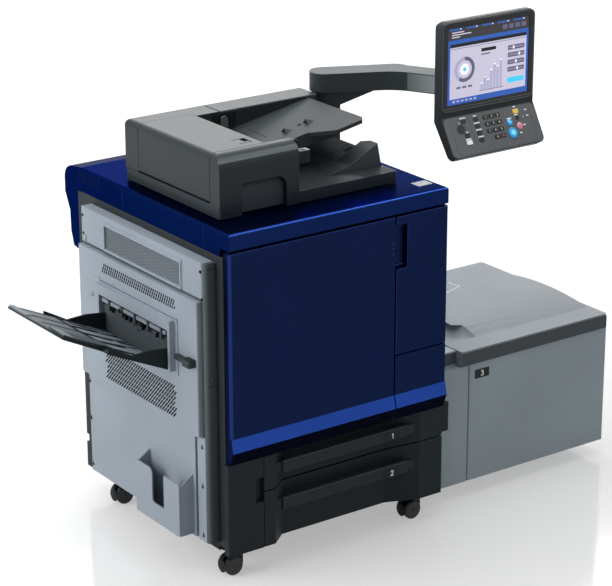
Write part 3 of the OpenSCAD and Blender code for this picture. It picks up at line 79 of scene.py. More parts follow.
# colour, shine, roughness, grain size in mm, grain strength
finishes = dict(
    coverBlue=painted((0.0055, 0.015, 0.075), rough=0.32, grain=0.5, bump=0.03, flake=0.5,
                      edgeTint=(0.41, 0.42, 0.46)),
    doorNavy=painted((0.0065, 0.0130, 0.050), rough=0.42, grain=0.5, bump=0.03, flake=0.45,
                     edgeTint=(0.50, 0.53, 0.62)),
    stripBlue=painted((0.014, 0.045, 0.24)),
    # painted highlight for the doors' rounded edges and the grip recess's outline
    paintedHighlightBlue=painted((0.015, 0.030, 0.14)),
    # painted shade under the bright strips
    paintedShadeBlue=coated((0.0012, 0.0026, 0.011), 0.01, rough=0.6, grain=0.6, bump=0.03),
    panelGrey=coated((0.31, 0.355, 0.405), 0.2),
    # the corner cover grows darker across its width: painted shade on its curve
    cornerGrey=coated((0.105, 0.124, 0.138), 0.12,
                      fade=dict(start=0.0, colour=(0.062, 0.073, 0.080), axis="X")),
    sheetGrey=coated((0.20, 0.235, 0.262), 0.2, bump=0.05),
    unitGrey=coated((0.405, 0.482, 0.532), 0.25),
    lidGrey=coated((0.28, 0.315, 0.345), 0.25, rough=0.45, bump=0.07),
    unitDark=coated((0.045, 0.058, 0.07), 0.3, bump=0.07),
    frameDark=coated((0.014, 0.017, 0.019), 0.10, rough=0.45, grain=1.0),
    frameGrey=coated((0.026, 0.031, 0.034), 0.12, rough=0.48, grain=1.0),
    seamDark=coated((0.006, 0.007, 0.009), 0.1, rough=0.7, grain=1.0, bump=0.04),
    charcoal=moulded((0.018, 0.0235, 0.027), 0.12, edgeTint=coolEdge),
    handleGrey=moulded((0.023, 0.029, 0.034), 0.14, edgeTint=coolEdge),
    feederGrey=moulded((0.023, 0.029, 0.033), 0.19, rough=0.38, edgeTint=coolEdge),
    # a lighter copy of the feeder plastic for the grip's bulge: painted light
    gripPaintedLight=moulded((0.060, 0.070, 0.078), 0.15),
    wallGrey=moulded((0.085, 0.098, 0.108), 0.12, bump=0.06),
    trayGrey=moulded((0.045, 0.054, 0.058), 0.10, edgeTint=coolEdge),
    # a lighter copy of trayTop for the tray near the mouth: painted light
    trayPaintedLight=moulded((0.24, 0.285, 0.32), 0.2),
    trayTop=moulded((0.10, 0.119, 0.132), 0.3),
    trayTip=moulded((0.19, 0.225, 0.25), 0.3, bump=0.08),
    armGrey=moulded((0.040, 0.049, 0.054), 0.16, rough=0.44, bump=0.08, edgeTint=coolEdge),
    # a lit copy of armGrey for one side of the arm: painted light, darker toward one end as painted shade
    armPaintedLight=moulded((0.35, 0.39, 0.40), 0.2, rough=0.44, bump=0.08,
                    fade=dict(start=0.30, colour=(0.008, 0.011, 0.013), axis="Y")),
    bezelBlack=moulded((0.0030, 0.0046, 0.0070), 0.3, rough=0.34, grain=0.7, bump=0.03),
    panelShell=moulded((0.034, 0.039, 0.043), 0.12, rough=0.42, grain=0.7, bump=0.06, edgeTint=coolEdge),
    # light grey for painted highlights on the bezel, rail and ramp, and for pale small parts in the feeder's
    # cavity
    highlightAndPaleGrey=moulded((0.12, 0.13, 0.135), 0.4, rough=0.4, grain=0.7, bump=0.04),
    panelBlack=moulded((0.012, 0.013, 0.015), 0.3, rough=0.36, grain=0.7, bump=0.05),
    deckGrey=moulded((0.125, 0.138, 0.148), 0.2, rough=0.48, grain=0.7, bump=0.08),
    casterBlack=moulded((0.010, 0.010, 0.011), 0.4, rough=0.42, grain=0.7, bump=0.08),
    zincPlate=dict(colour=(0.42, 0.43, 0.44), rough=0.34, grain=1.6, bump=0.05, metal=0.9),
    brightSteel=dict(colour=(0.62, 0.62, 0.62), rough=0.24, grain=1.2, bump=0.04, metal=1.0),
    keyDark=keyCap((0.003, 0.003, 0.004), rough=0.5, bump=0.05, specular=0.15),
    keyWhite=keyCap((0.75, 0.76, 0.76), glow=0.4),
    keyBlue=keyCap((0.02, 0.30, 0.70), rough=0.32, bump=0.03, glow=0.25),
    keyPink=keyCap((0.62, 0.20, 0.30), rough=0.36, glow=0.35),
    keyYellow=keyCap((0.80, 0.54, 0.06), rough=0.36, glow=0.35),
    keyRed=keyCap((0.28, 0.02, 0.04), bump=0.03),
    # labelWhite and digitWhite glow: painted light on printed marks and on the lid's line; on the deck's
    # second lamp the glow is the lamp's own
    labelWhite=keyCap((0.80, 0.81, 0.82), rough=0.5, grain=0.6, bump=0.03, glow=0.3),
    labelPale=keyCap((0.42, 0.42, 0.48), grain=1.5, bump=0.05),
    digitWhite=keyCap((0.80, 0.81, 0.82), rough=0.5, grain=0.6, bump=0.02, glow=0.2),
    uiBlue=lit((0.03, 0.10, 0.40)), uiDark=lit((0.035, 0.033, 0.036)), uiPale=lit((0.58, 0.55, 0.69), 0.7),
    uiWhite=lit((0.88, 0.88, 0.95)), uiGrey=lit((0.11, 0.11, 0.18)), uiCyan=lit((0.06, 0.55, 0.85)),
    uiBlack=lit((0.006, 0.006, 0.012)), uiSoft=lit((0.36, 0.37, 0.52)),
)
surface = dict(driftScale=3.5, driftDetail=3.0, driftDepth=0.07, fineDetail=2.0, glossSpread=0.06,
               reliefHeight=0.0006, flakeScale=900.0)


def addNode(tree, kind, **values):
    node = tree.nodes.new("ShaderNode" + kind)
    for name, value in values.items():
        node.inputs[name].default_value = value
    return node


def fadeTone(tree, where, shade, start, colour, axis):
    # painted shade: a darker tone toward one end of the piece, for how the light falls off across it
    axes = addNode(tree, "SeparateXYZ")
    span = addNode(tree, "MapRange", **{"From Min": start})
    turn = addNode(tree, "Mix")
    turn.data_type = "RGBA"
    turn.inputs["B"].default_value = [*colour, 1]
    tree.links.new(where.outputs["Generated"], axes.inputs["Vector"])
    tree.links.new(axes.outputs[axis], span.inputs["Value"])
    tree.links.new(span.outputs["Result"], turn.inputs["Factor"])
    tree.links.new(shade, turn.inputs["A"])
    return turn.outputs["Result"]


def flakeTone(tree, where, shade, flake):
    # metal flakes in the paint
    cells = addNode(tree, "TexVoronoi", Scale=surface["flakeScale"])
    lift = addNode(tree, "MapRange", **{"From Max": 0.9, "To Min": 1.0 + flake, "To Max": 1.0 - flake})
    spark = addNode(tree, "VectorMath")
    spark.operation = "SCALE"
    tree.links.new(where.outputs["Object"], cells.inputs["Vector"])
    tree.links.new(cells.outputs["Distance"], lift.inputs["Value"])
    tree.links.new(shade, spark.inputs[0])
    tree.links.new(lift.outputs["Result"], spark.inputs["Scale"])
    return spark.outputs["Vector"]


def makeFinish(name, colour, rough, grain, bump, metal=0.0, edgeTint=None, flake=0.0, specular=0.4, glow=0.0,
               fade=None):
    mat = bpy.data.materials.new(name)
    mat.use_nodes = True
    tree, links = mat.node_tree, mat.node_tree.links
    shader = tree.nodes["Principled BSDF"]
    shader.inputs["Metallic"].default_value = metal
    shader.inputs["Specular IOR Level"].default_value = specular
    if edgeTint:
        shader.inputs["Specular Tint"].default_value = [*edgeTint, 1]
    if glow:
        shader.inputs["Emission Color"].default_value = [*colour, 1]
        shader.inputs["Emission Strength"].default_value = glow
    where = addNode(tree, "TexCoord")

    # slow drift of tone over a whole panel
    drift = addNode(tree, "TexNoise", Scale=surface["driftScale"], Detail=surface["driftDetail"])
    tone = addNode(tree, "ValToRGB")
    for stop, place, part in zip(tone.color_ramp.elements, (0.3, 0.7), (-1, 1)):
        stop.position = place
        stop.color = [min(1, c * (1 + part * surface["driftDepth"])) for c in colour] + [1]
    links.new(where.outputs["Object"], drift.inputs["Vector"])
    links.new(drift.outputs["Fac"], tone.inputs["Fac"])
    shade = tone.outputs["Color"]
    if fade:
        shade = fadeTone(tree, where, shade, **fade)
    if flake:
        shade = flakeTone(tree, where, shade, flake)
    links.new(shade, shader.inputs["Base Color"])

    # fine grain for gloss and bump
    fine = addNode(tree, "TexNoise", Scale=1 / (grain * mm), Detail=surface["fineDetail"])
    spread = surface["glossSpread"]
    gloss = addNode(tree, "MapRange", **{"To Min": rough - spread, "To Max": rough + spread})
    relief = addNode(tree, "Bump", Strength=bump, Distance=surface["reliefHeight"])
    links.new(where.outputs["Object"], fine.inputs["Vector"])
    links.new(fine.outputs["Fac"], gloss.inputs["Value"])
    links.new(gloss.outputs["Result"], shader.inputs["Roughness"])
    links.new(fine.outputs["Fac"], relief.inputs["Height"])
    links.new(relief.outputs["Normal"], shader.inputs["Normal"])
    return mat


finish = {name: makeFinish(name, **values) for name, values in finishes.items()}


def makeScanGlass():
    mat = makeFinish("scanGlass", (0.75, 0.82, 0.82), 0.08, 2.0, 0.02)
    shader = mat.node_tree.nodes["Principled BSDF"]
    shader.inputs["Transmission Weight"].default_value = 0.8
    shader.inputs["IOR"].default_value = 1.5
    return mat


finish["scanGlass"] = makeScanGlass()
print("stage: materials")

shot = dict(place=(-3815.0, -5388.6, 2999.4), turn=-35.489, tip=19.644, roll=-0.128,
            lens=136.395, shift=(-0.00304, -0.00327))


def makeCamera():
    turn, tip, roll = (math.radians(shot[k]) for k in ("turn", "tip", "roll"))
    back = Vector((math.sin(turn) * math.cos(tip), -math.cos(turn) * math.cos(tip), math.sin(tip)))
    right = Vector((math.cos(turn), math.sin(turn), 0))
    up = right.cross(-back)
    level = right * math.cos(roll) + up * math.sin(roll)
    upright = -right * math.sin(roll) + up * math.cos(roll)
    data = bpy.data.cameras.new("camera")
    data.lens = shot["lens"]
    data.sensor_width = 36.0
    data.shift_x, data.shift_y = shot["shift"]
    data.clip_end = 100
    camera = bpy.data.objects.new("camera", data)
    scene.collection.objects.link(camera)
    spread = Matrix((level, upright, back)).transposed().to_4x4()
    camera.matrix_world = Matrix.Translation(Vector(shot["place"]) * mm) @ spread
    scene.camera = camera


makeCamera()

studio = dict(sky=0.26, floorShade=0.60, floorGloss=0.10, floorShine=0.4, liftInPaintedShade=0.40, liftFar=0.72,
              nearEdge=1.4, farEdge=6.0)
lamps = dict(
    lampTop=dict(place=(-0.3, 0.6, 4.2), aim=(0, 0, 0.8), size=(4.5, 4.0), power=105.0),
    lampBack=dict(place=(2.2, 3.6, 3.0), aim=(0.1, 0, 1.0), size=(4.5, 1.2), power=74.0),
    lampLeft=dict(place=(-4.2, 0.9, 2.0), aim=(-0.5, 0, 0.7), size=(3.0, 3.0), power=120.0, shines=False),
    # only seen as a highlight along rounded edges
    lampEdge=dict(place=(2.2, -2.3, 4.3), aim=(0.0, -0.4, 1.0), size=(2.6, 0.7), power=240.0, lights=False),
)


def makeLamp(name, place, aim, size, power, shines=True, lights=True):
    data = bpy.data.lights.new(name, "AREA")
    data.shape = "RECTANGLE"
    data.size, data.size_y = size
    data.energy = power
    lamp = bpy.data.objects.new(name, data)
    scene.collection.objects.link(lamp)
    lamp.location = place
    lamp.rotation_euler = (Vector(aim) - Vector(place)).to_track_quat("-Z", "Y").to_euler()
    lamp.visible_camera = False
    lamp.visible_glossy = shines
    lamp.visible_diffuse = lights


def seenDirectly(tree):
    # 1 for camera, glossy and transmission rays
    path = addNode(tree, "LightPath")
    total = path.outputs["Is Camera Ray"]
    for ray in ("Is Glossy Ray", "Is Transmission Ray"):
        either = addNode(tree, "Math")
        either.operation = "MAXIMUM"
        tree.links.new(total, either.inputs[0])
        tree.links.new(path.outputs[ray], either.inputs[1])
        total = either.outputs[0]
    return total


def makeStudio():
    world = bpy.data.worlds.new("studio")
    world.use_nodes = True
    scene.world = world
    tree = world.node_tree
    sky = tree.nodes["Background"]
    sky.inputs["Color"].default_value = (1, 1, 1, 1)
    level = addNode(tree, "MapRange", **{"To Min": studio["sky"], "To Max": 1.0})
    tree.links.new(seenDirectly(tree), level.inputs["Value"])
    tree.links.new(level.outputs["Result"], sky.inputs["Strength"])
    for name, values in lamps.items():
        makeLamp(name, **values)
    scene.view_settings.view_transform = "Standard"


def makeFloor():
    bpy.ops.mesh.primitive_plane_add(size=60, location=(0, 0, -0.0002))
    floor = bpy.context.object
    floor.name = "floor"
    mat = bpy.data.materials.new("floorPale")
    mat.use_nodes = True
    tree, links = mat.node_tree, mat.node_tree.links
    shader = tree.nodes["Principled BSDF"]
    shader.inputs["Base Color"].default_value = (studio["floorShade"],) * 3 + (1,)
    shader.inputs["Roughness"].default_value = studio["floorGloss"]
    shader.inputs["Specular IOR Level"].default_value = studio["floorShine"]
    shader.inputs["Emission Color"].default_value = (1, 1, 1, 1)
    # the floor's own glow for camera and glossy rays is lower near the machine: a painted shade around it
    where = addNode(tree, "TexCoord")
    away = addNode(tree, "VectorMath")
    away.operation = "LENGTH"
    spread = addNode(tree, "MapRange", **{"From Min": studio["nearEdge"], "From Max": studio["farEdge"],
                                          "To Min": studio["liftInPaintedShade"], "To Max": studio["liftFar"]})
    spread.interpolation_type = "SMOOTHSTEP"
    lift = addNode(tree, "Math")
    lift.operation = "MULTIPLY"
    links.new(where.outputs["Object"], away.inputs[0])
    links.new(away.outputs["Value"], spread.inputs["Value"])
    links.new(seenDirectly(tree), lift.inputs[0])
    links.new(spread.outputs["Result"], lift.inputs[1])
    links.new(lift.outputs["Value"], shader.inputs["Emission Strength"])
    floor.data.materials.append(mat)


makeStudio()
makeFloor()
print("stage: camera, light and floor")

# node: (finish, edge rounding in mm)
coats = {
    "base_plate": ("frameDark", 1), "side_frame_left": ("frameGrey", 1), "side_frame_right": ("unitGrey", 1),
    "back_panel": ("frameGrey", 1.5), "engine_core": ("frameDark", 1), "top_cover": ("coverBlue", 0),
    "scan_glass": ("scanGlass", 0), "rear_duct": ("coverBlue", 2), "upper_side_cover": ("panelGrey", 2),
    "exit_panel": ("panelGrey", 2), "exit_collar": ("panelGrey", 2.5), "exit_wall_plate": ("wallGrey", 0.6),
    "lower_side_cover": ("panelGrey", 1.5), "corner_cover": ("cornerGrey", 1),
    "brochure_pocket": ("panelGrey", 1), "output_tray": ("charcoal", 1),
    "release_lever": ("trayGrey", 2), "drawer_column": ("charcoal", 1.5),
    "docking_block": ("charcoal", 1), "front_door": ("doorNavy", 1.5), "door_strip": ("stripBlue", 1),
    "toner_door": ("doorNavy", 1.5), "lower_front_cover": ("doorNavy", 1.5), "cover_strip": ("stripBlue", 1),
    "feeder_base": ("feederGrey", 1.5), "feeder_housing": ("feederGrey", 1.5),
    "feeder_flap": ("feederGrey", 1.2), "feeder_rail": ("feederGrey", 1.5),
    "document_tray": ("trayGrey", 1.5), "arm_column": ("armGrey", 1.5),
    "swing_arm": ("armGrey", 3), "panel_knuckle": ("armGrey", 1), "panel_housing": ("panelShell", 3),
    "panel_screen": ("panelBlack", 0), "panel_keys": ("keyDark", 0.6), "paper_unit_shell": ("unitGrey", 1.5),
    "paper_unit_front": ("unitGrey", 2), "paper_unit_side": ("unitGrey", 1.5),
    "paper_unit_lid": ("lidGrey", 2), "levelling_feet": ("frameDark", 1),
}
for drawer in "12":
    coats.update({"drawer_front_" + drawer: ("charcoal", 1.5), "drawer_tray_" + drawer: ("zincPlate", 0.6),
                  "drawer_handle_" + drawer: ("handleGrey", 1)})
for corner in corners:
    coats["caster_fork_" + corner] = coats["caster_wheels_" + corner] = ("casterBlack", 1)


def roundEdges(piece, width, angle):
    bevel = piece.modifiers.new("edges", "BEVEL")
    bevel.width = width * mm
    bevel.segments = 2
    bevel.limit_method = "ANGLE"
    bevel.angle_limit = math.radians(angle)
    bevel.harden_normals = True
    bevel.use_clamp_overlap = True


def coatNodes():
    for node, (coat, edge) in coats.items():
        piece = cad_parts[node]
        for slot in piece.material_slots:
            slot.material = finish[coat]
        if edge:
            weld = piece.modifiers.new("weld", "WELD")
            weld.merge_threshold = 0.00001
            roundEdges(piece, edge, 40)


coatNodes()
print("stage: frame finishes")

hairline = (-0.3, 0.25)    # how deep and how proud a drawn line or seam sits


def sideways(origin, across, up):
    # a drawing plane: (across, up, out) in millimetres at an origin in engine millimetres
    u = Vector(across).normalized()
    v = Vector(up)
    v = (v - u * v.dot(u)).normalized()
    turn = Matrix((u, v, u.cross(v))).transposed().to_4x4()
    return Matrix.Translation(spot(*origin)) @ turn @ Matrix.Scale(mm, 4)


def leftPlane(x):
    return sideways((x, 0, 0), (0, -1, 0), (0, 0, 1))    # seen from the left side


def frontPlane(y):
    return sideways((0, y, 0), (1, 0, 0), (0, 0, 1))


def topPlane(z, x=0, y=0):
    return sideways((x, y, z), (1, 0, 0), (0, 1, 0))


def reach(node, sides):
    # the named sides of a node's box in engine millimetres, as in "x0 y1"
    low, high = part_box(node)
    origin = Vector((engineX, faceY, 0))
    box = dict(zip(("x0", "y0", "z0", "x1", "y1", "z1"), (*((low - origin) / mm), *((high - origin) / mm))))
    wanted = [box[side] for side in sides.split()]
    return wanted if len(wanted) > 1 else wanted[0]


def addPrism(bm, where, outline, low, high, tint=0):
    # an outline of (across, up) points drawn out between two heights
    base = [bm.verts.new(where @ Vector((u, v, low))) for u, v in outline]
    cap = [bm.verts.new(where @ Vector((u, v, high))) for u, v in outline]
    faces = [bm.faces.new(cap), bm.faces.new(base[::-1])]
    for i in range(len(outline)):
        j = (i + 1) % len(outline)
        faces.append(bm.faces.new((base[i], base[j], cap[j], cap[i])))
    for face in faces:
        face.material_index = tint


def rounded(u0, v0, u1, v1, r=0.0, steps=4):
    if r <= 0:
        return [(u0, v0), (u1, v0), (u1, v1), (u0, v1)]
    points = []
    left, low, right, high = u0 + r, v0 + r, u1 - r, v1 - r
    for cu, cv, start in ((right, low, -90), (right, high, 0), (left, high, 90), (left, low, 180)):
        for i in range(steps + 1):
            a = math.radians(start + 90 * i / steps)
            points.append((cu + r * math.cos(a), cv + r * math.sin(a)))
    return points


def grown(box, by, r=0.0):
    return rounded(box[0] - by, box[1] - by, box[2] + by, box[3] + by, r)


def circle(u, v, r, steps=36):
    turns = [2 * math.pi * i / steps for i in range(steps)]
    return [(u + r * math.cos(a), v + r * math.sin(a)) for a in turns]


def addPlate(bm, where, u0, v0, u1, v1, low, high, r=0.0, tint=0):
    addPrism(bm, where, rounded(u0, v0, u1, v1, r), low, high, tint)


def addBand(bm, where, outer, inner, low, high, tint=0):
    # a flat frame between two outlines with the same number of points
    heights = ((outer, low), (outer, high), (inner, high), (inner, low))
    loops = [[bm.verts.new(where @ Vector((u, v, h))) for u, v in line] for line, h in heights]
    for a, b in zip(loops, loops[1:] + loops[:1]):
        for i in range(len(outer)):
            j = (i + 1) % len(outer)
            bm.faces.new((a[i], a[j], b[j], b[i])).material_index = tint


def addStroke(bm, where, a, b, width, low, high, tint=0):
    # a straight flat bar between two drawing points
    along = Vector((b[0] - a[0], b[1] - a[1])).normalized() * (width / 2)
    side = Vector((-along.y, along.x))
    a, b = Vector(a), Vector(b)
    addPrism(bm, where, [a - side, b - side, b + side, a + side], low, high, tint)


def joinRings(bm, rings, tint):
    # skins the rings and closes both ends; a ring of one point is a tip
    for low, high in zip(rings, rings[1:]):
        steps = max(len(low), len(high))
        for i in range(steps):
            j = (i + 1) % steps
            if len(low) == 1:
                face = bm.faces.new((low[0], high[j], high[i]))
            elif len(high) == 1:
                face = bm.faces.new((low[i], low[j], high[0]))
            else:
                face = bm.faces.new((low[i], low[j], high[j], high[i]))
            face.material_index = tint
    for ring in (rings[0][::-1], rings[-1]):
        if len(ring) > 1:
            bm.faces.new(ring).material_index = tint


def addTurned(bm, where, centre, profile, steps=20, tint=0):
    # a profile of (radius, height) turned about the outward axis
    rings = []
    for radius, height in profile:
        around = circle(*centre, radius, steps) if radius > 0 else [centre]
        rings.append([bm.verts.new(where @ Vector((u, v, height))) for u, v in around])
    joinRings(bm, rings, tint)


def addTube(bm, points, radius, steps):
    # a round wire through engine points
    path = [spot(*p) for p in points]
    rings = []
    for i, p in enumerate(path):
        way = (path[min(i + 1, len(path) - 1)] - path[max(i - 1, 0)]).normalized()
        side = way.cross(Vector((0, 0, 1)) if abs(way.z) < 0.9 else Vector((1, 0, 0))).normalized()
        lift = side.cross(way)
        around = [(side * u + lift * v) * radius * mm for u, v in circle(0, 0, 1, steps)]
        rings.append([bm.verts.new(p + out) for out in around])
    joinRings(bm, rings, 0)


def addScrew(bm, where, u, v, d):
    # a pan head with a cross slot in the piece's second finish
    head = [(d / 2, -0.5), (d / 2, 0.5), (d * 0.42, 1.0), (d * 0.2, 1.3), (0, 1.35)]
    addTurned(bm, where, (u, v), head, 16)
    arm = d * 0.25
    for du, dv in ((arm, 0), (0, arm)):
        addStroke(bm, where, (u - du, v - dv), (u + du, v + dv), d * 0.13, 1.0, 1.4, 1)


glyphs = {    # plain digits, each drawn as one bent stroke
    "0": [(0.5, 1), (0.12, 0.85), (0, 0.5), (0.12, 0.15), (0.5, 0), (0.88, 0.15), (1, 0.5), (0.88, 0.85),
          (0.5, 1)],
    "1": [(0.15, 0.78), (0.55, 1), (0.55, 0)],
    "2": [(0.02, 0.75), (0.2, 0.96), (0.55, 1), (0.9, 0.88), (0.92, 0.62), (0.6, 0.35), (0, 0), (1, 0)],
    "3": [(0.05, 0.86), (0.4, 1), (0.82, 0.93), (0.86, 0.64), (0.45, 0.52), (0.9, 0.38), (0.92, 0.12),
          (0.5, 0), (0, 0.12)],
    "4": [(0.72, 0), (0.72, 1), (0, 0.28), (1, 0.28)],
    "5": [(0.92, 1), (0.15, 1), (0.08, 0.55), (0.55, 0.62), (0.95, 0.45), (0.92, 0.12), (0.5, 0), (0, 0.1)],
    "6": [(0.85, 0.95), (0.45, 0.98), (0.08, 0.62), (0.05, 0.2), (0.5, 0), (0.95, 0.18), (0.92, 0.48),
          (0.5, 0.6), (0.08, 0.42)],
    "7": [(0, 1), (1, 1), (0.38, 0)],
    "8": [(0.5, 0.54), (0.1, 0.72), (0.16, 0.96), (0.5, 1), (0.84, 0.96), (0.9, 0.72), (0.5, 0.54),
          (0.04, 0.34), (0.08, 0.06), (0.5, 0), (0.92, 0.06), (0.96, 0.34), (0.5, 0.54)],
    "9": [(0.92, 0.58), (0.5, 0.4), (0.08, 0.52), (0.05, 0.82), (0.5, 1), (0.95, 0.8), (0.92, 0.38),
          (0.55, 0.02), (0.15, 0.05)],
}


def addDigit(bm, where, figure, centre, size, low, high, tint=0):
    wide, thick = size * 0.6, size * 0.16
    points = [Vector((centre[0] + (u - 0.5) * wide, centre[1] + (v - 0.5) * size)) for u, v in glyphs[figure]]
    for a, b in zip(points, points[1:]):
        push = (b - a).normalized() * thick * 0.35
        addStroke(bm, where, a - push, b + push, thick, low, high, tint)


def slantedBars(u0, v0, u1, v1, pitch, lean):
    # parallel lines that lean by `lean` across for each millimetre up, cut to a rectangle
    lines = []
    rise = abs(lean) * (v1 - v0)
    count = int((u1 - u0 + rise) / pitch)
    for i in range(count + 1):
        foot = u0 - (rise if lean > 0 else 0) + i * pitch
        ends = sorted(v0 + (edge - foot) / lean for edge in (u0, u1))
        low, high = max(v0, ends[0]), min(v1, ends[1])
        if high - low > 1:
            lines.append(((foot + lean * (low - v0), low), (foot + lean * (high - v0), high)))
    return lines


def addGrille(bm, where, u0, v0, u1, v1, rows, pitch, slot, lean, bridge, low, high, margin=4.0):
    # a sheet with rows of slanted slots: only what stands between the slots is drawn
    tall = (v1 - v0 - bridge * (rows + 1)) / rows
    for row in range(rows + 1):
        foot = v0 + row * (tall + bridge)
        addPlate(bm, where, u0, foot, u1, foot + bridge, low, high)
    for row in range(rows):
        foot = v0 + bridge + row * (tall + bridge)
        head = foot + tall
        left = [u0, u0]
        start = u0 + margin + (lean * (foot - v0)) % pitch
        while start + slot + lean * tall < u1 - margin / 2:
            right = [start, start + lean * tall]
            web = [(left[0], foot), (right[0], foot), (right[1], head), (left[1], head)]
            addPrism(bm, where, web, low, high)
            left = [right[0] + slot, right[1] + slot]
            start += pitch
        addPrism(bm, where, [(left[0], foot), (u1, foot), (u1, head), (left[1], head)], low, high)


def makePiece(name, bm, coatNames, body, edge=0.0, smooth=40):
    bmesh.ops.recalc_face_normals(bm, faces=bm.faces)
    mesh = bpy.data.meshes.new(name)
    bm.to_mesh(mesh)
    bm.free()
    mesh.shade_smooth()
    mesh.set_sharp_from_angle(angle=math.radians(smooth))
    piece = bpy.data.objects.new(name, mesh)
    scene.collection.objects.link(piece)
    for coat in coatNames:
        mesh.materials.append(finish[coat])
    if edge:
        roundEdges(piece, edge, 35)
    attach(piece, body)


# woven sheet in the upper side cover, and a dark plate in the gap under that cover: painted shade
sheet = dict(span=(-595, 850, -191, 919), recess=7, pitch=5.0, bar=1.7, lean=0.58, rim=7.0,
             gap=(-727, 833.5, -84, 841.5), gapFace=-0.5)


def makeUpperSheet():
    face = reach("upper_side_cover", "x0")
    where = leftPlane(face + sheet["recess"])
    span, pitch, wide = sheet["span"], sheet["pitch"], sheet["bar"]
    back = bmesh.new()
    addPrism(back, where, grown(span, -0.5), 0.1, 0.9)
    makePiece("sheet_backing", back, ["charcoal"], "cabinet")
    bars = bmesh.new()
    for lean, high in ((sheet["lean"], 2.6), (-sheet["lean"], 2.5)):
        for a, b in slantedBars(*span, pitch * 1.16, lean):
            addStroke(bars, where, a, b, wide, 1.6, high)
    for a, b in slantedBars(*span, pitch, 0.01):
        addStroke(bars, where, a, b, wide * 0.6, 1.7, 2.4)
    makePiece("perforated_sheet", bars, ["sheetGrey"], "cabinet")
    rim = bmesh.new()
    addBand(rim, leftPlane(face), grown(span, sheet["rim"], 3), grown(span, 0.5, 1), -0.4, 2.0)
    makePiece("sheet_rim", rim, ["panelGrey"], "cabinet", 0.8)
    gap = bmesh.new()
    addPlate(gap, leftPlane(sheet["gapFace"]), *sheet["gap"], 0.0, 1.0)
    makePiece("cover_gap_shade", gap, ["seamDark"], "cabinet")


ventFace = -45    # bottom of the exit panel's two recesses
vents = dict(
    high=((-602, 780, -193, 811), dict(rows=3, pitch=10.8, slot=6.3, lean=0.44, bridge=0.9)),
    low=((-599, 451, -193, 552), dict(rows=6, pitch=12.3, slot=7.3, lean=0.98, bridge=1.2)),
)


def makeVents():
    where = leftPlane(ventFace)
    for name, (span, slots) in vents.items():
        # a dark sheet behind the slots: painted shade for the vents' depth
        back = bmesh.new()
        addPrism(back, where, grown(span, -0.3), 0.1, 1.6)
        makePiece("vent_shade_backing_" + name, back, ["seamDark"], "cabinet")
        bars = bmesh.new()
        addGrille(bars, where, *span, low=3.8, high=5.0, **slots)
        makePiece("vent_bars_" + name, bars, ["panelGrey"], "cabinet")


# the raised plate around the exit, with its bent tab and a stud
surround = dict(face=-50, span=(-645, 587, -187, 760), proud=2.4, corner=6, stud=(-193, 710),
                tab=((-680, 691, -652, 695), (-656, 691, -650, 706)), tabProud=2.2)


def makeExitSurround():
    y0, z0, y1, z1 = reach("exit_collar", "y0 z0 y1 z1")
    near, low, far, high = 1 - y1, z0 + 1, -y0 - 1, z1 - 1    # the hole that the collar fills
    u0, v0, u1, v1 = surround["span"]
    where = leftPlane(surround["face"])
    plate = bmesh.new()
    for box, r in (((u0, v0, near, v1), 0), ((near, high, u1, v1), surround["corner"]),
                   ((near, v0, u1, low), 0), ((far, low, u1, high), 0)):
        addPlate(plate, where, *box, -0.2, surround["proud"], r)
    for box in surround["tab"]:
        addPlate(plate, where, *box, -0.2, surround["tabProud"], 1)
    makePiece("exit_surround", plate, ["panelGrey"], "cabinet", 0.8)
    stud = bmesh.new()
    addTurned(stud, where, surround["stud"], [(3, 2), (3, 3.2), (1.5, 4), (0, 4)], 12)
    makePiece("exit_stud", stud, ["brightSteel"], "cabinet")


# screws as (y, z) on the side covers' face
sideFixings = dict(face=-36, screw=9.5, tab=(-722, 842, -704, 862),
                   upper=[(89, 921), (722, 921), (720, 866), (82, 842)],
                   lower=[(712, 398), (711, 278), (709, 127), (95, 396), (95, 276), (95, 124)])


def makeSideFixings():
    where = leftPlane(sideFixings["face"])
    screws, slots, tab = bmesh.new(), bmesh.new(), bmesh.new()
    for y, z in sideFixings["upper"] + sideFixings["lower"]:
        addScrew(screws, where, -y, z, sideFixings["screw"])
    for y, z in sideFixings["lower"]:    # keyhole above each screw
        addPlate(slots, where, -y - 2, z + 4, -y + 2, z + 12, -0.2, 0.25, 1.9)
    addPlate(tab, where, *sideFixings["tab"], -0.2, 3.0, 2)
    makePiece("side_screws", screws, ["seamDark", "seamDark"], "cabinet")
    makePiece("keyhole_slots", slots, ["seamDark"], "cabinet")
    makePiece("upper_tab", tab, ["panelGrey"], "cabinet", 0.8)


cornerCap = dict(front=66, place=(-18, 606), seams=(586, 931), seamReach=(-31, -0.5), seamHeight=1.4,
                 cap=[(8, 0), (8, 0.6), (7, 1.2), (3, 1.3), (2.6, 0.6), (0, 0.6)])


def makeCornerCap():
    # the round cap on the corner cover, with a dark ring around it, and the cover's seams
    front = frontPlane(cornerCap["front"])
    u0, u1 = cornerCap["seamReach"]
    cap = bmesh.new()
    addTurned(cap, front, cornerCap["place"], [(9, -0.3), (9, 0.15), (0, 0.15)], 24, 1)
    addTurned(cap, front, cornerCap["place"], cornerCap["cap"], 24)
    for z in cornerCap["seams"]:
        addPlate(cap, front, u0, z, u1, z + cornerCap["seamHeight"], -0.2, 0.15, 0, 1)
    makePiece("corner_cap", cap, ["cornerGrey", "seamDark"], "cabinet")


# places as (y, z) above the exit wall
exitParts = dict(wallDepth=16, strip=(-584, 697, -236, 708), shadow=(-584, 690, -214, 694),
                 firstTooth=(-570, 712, -558, 717), teeth=9, toothPitch=38,
                 rollers=[(475, 697), (360, 690)], pins=[(414, 671), (390, 664)],
                 hooks=[(524, 685), (450, 684), (428, 684), (285, 682)])


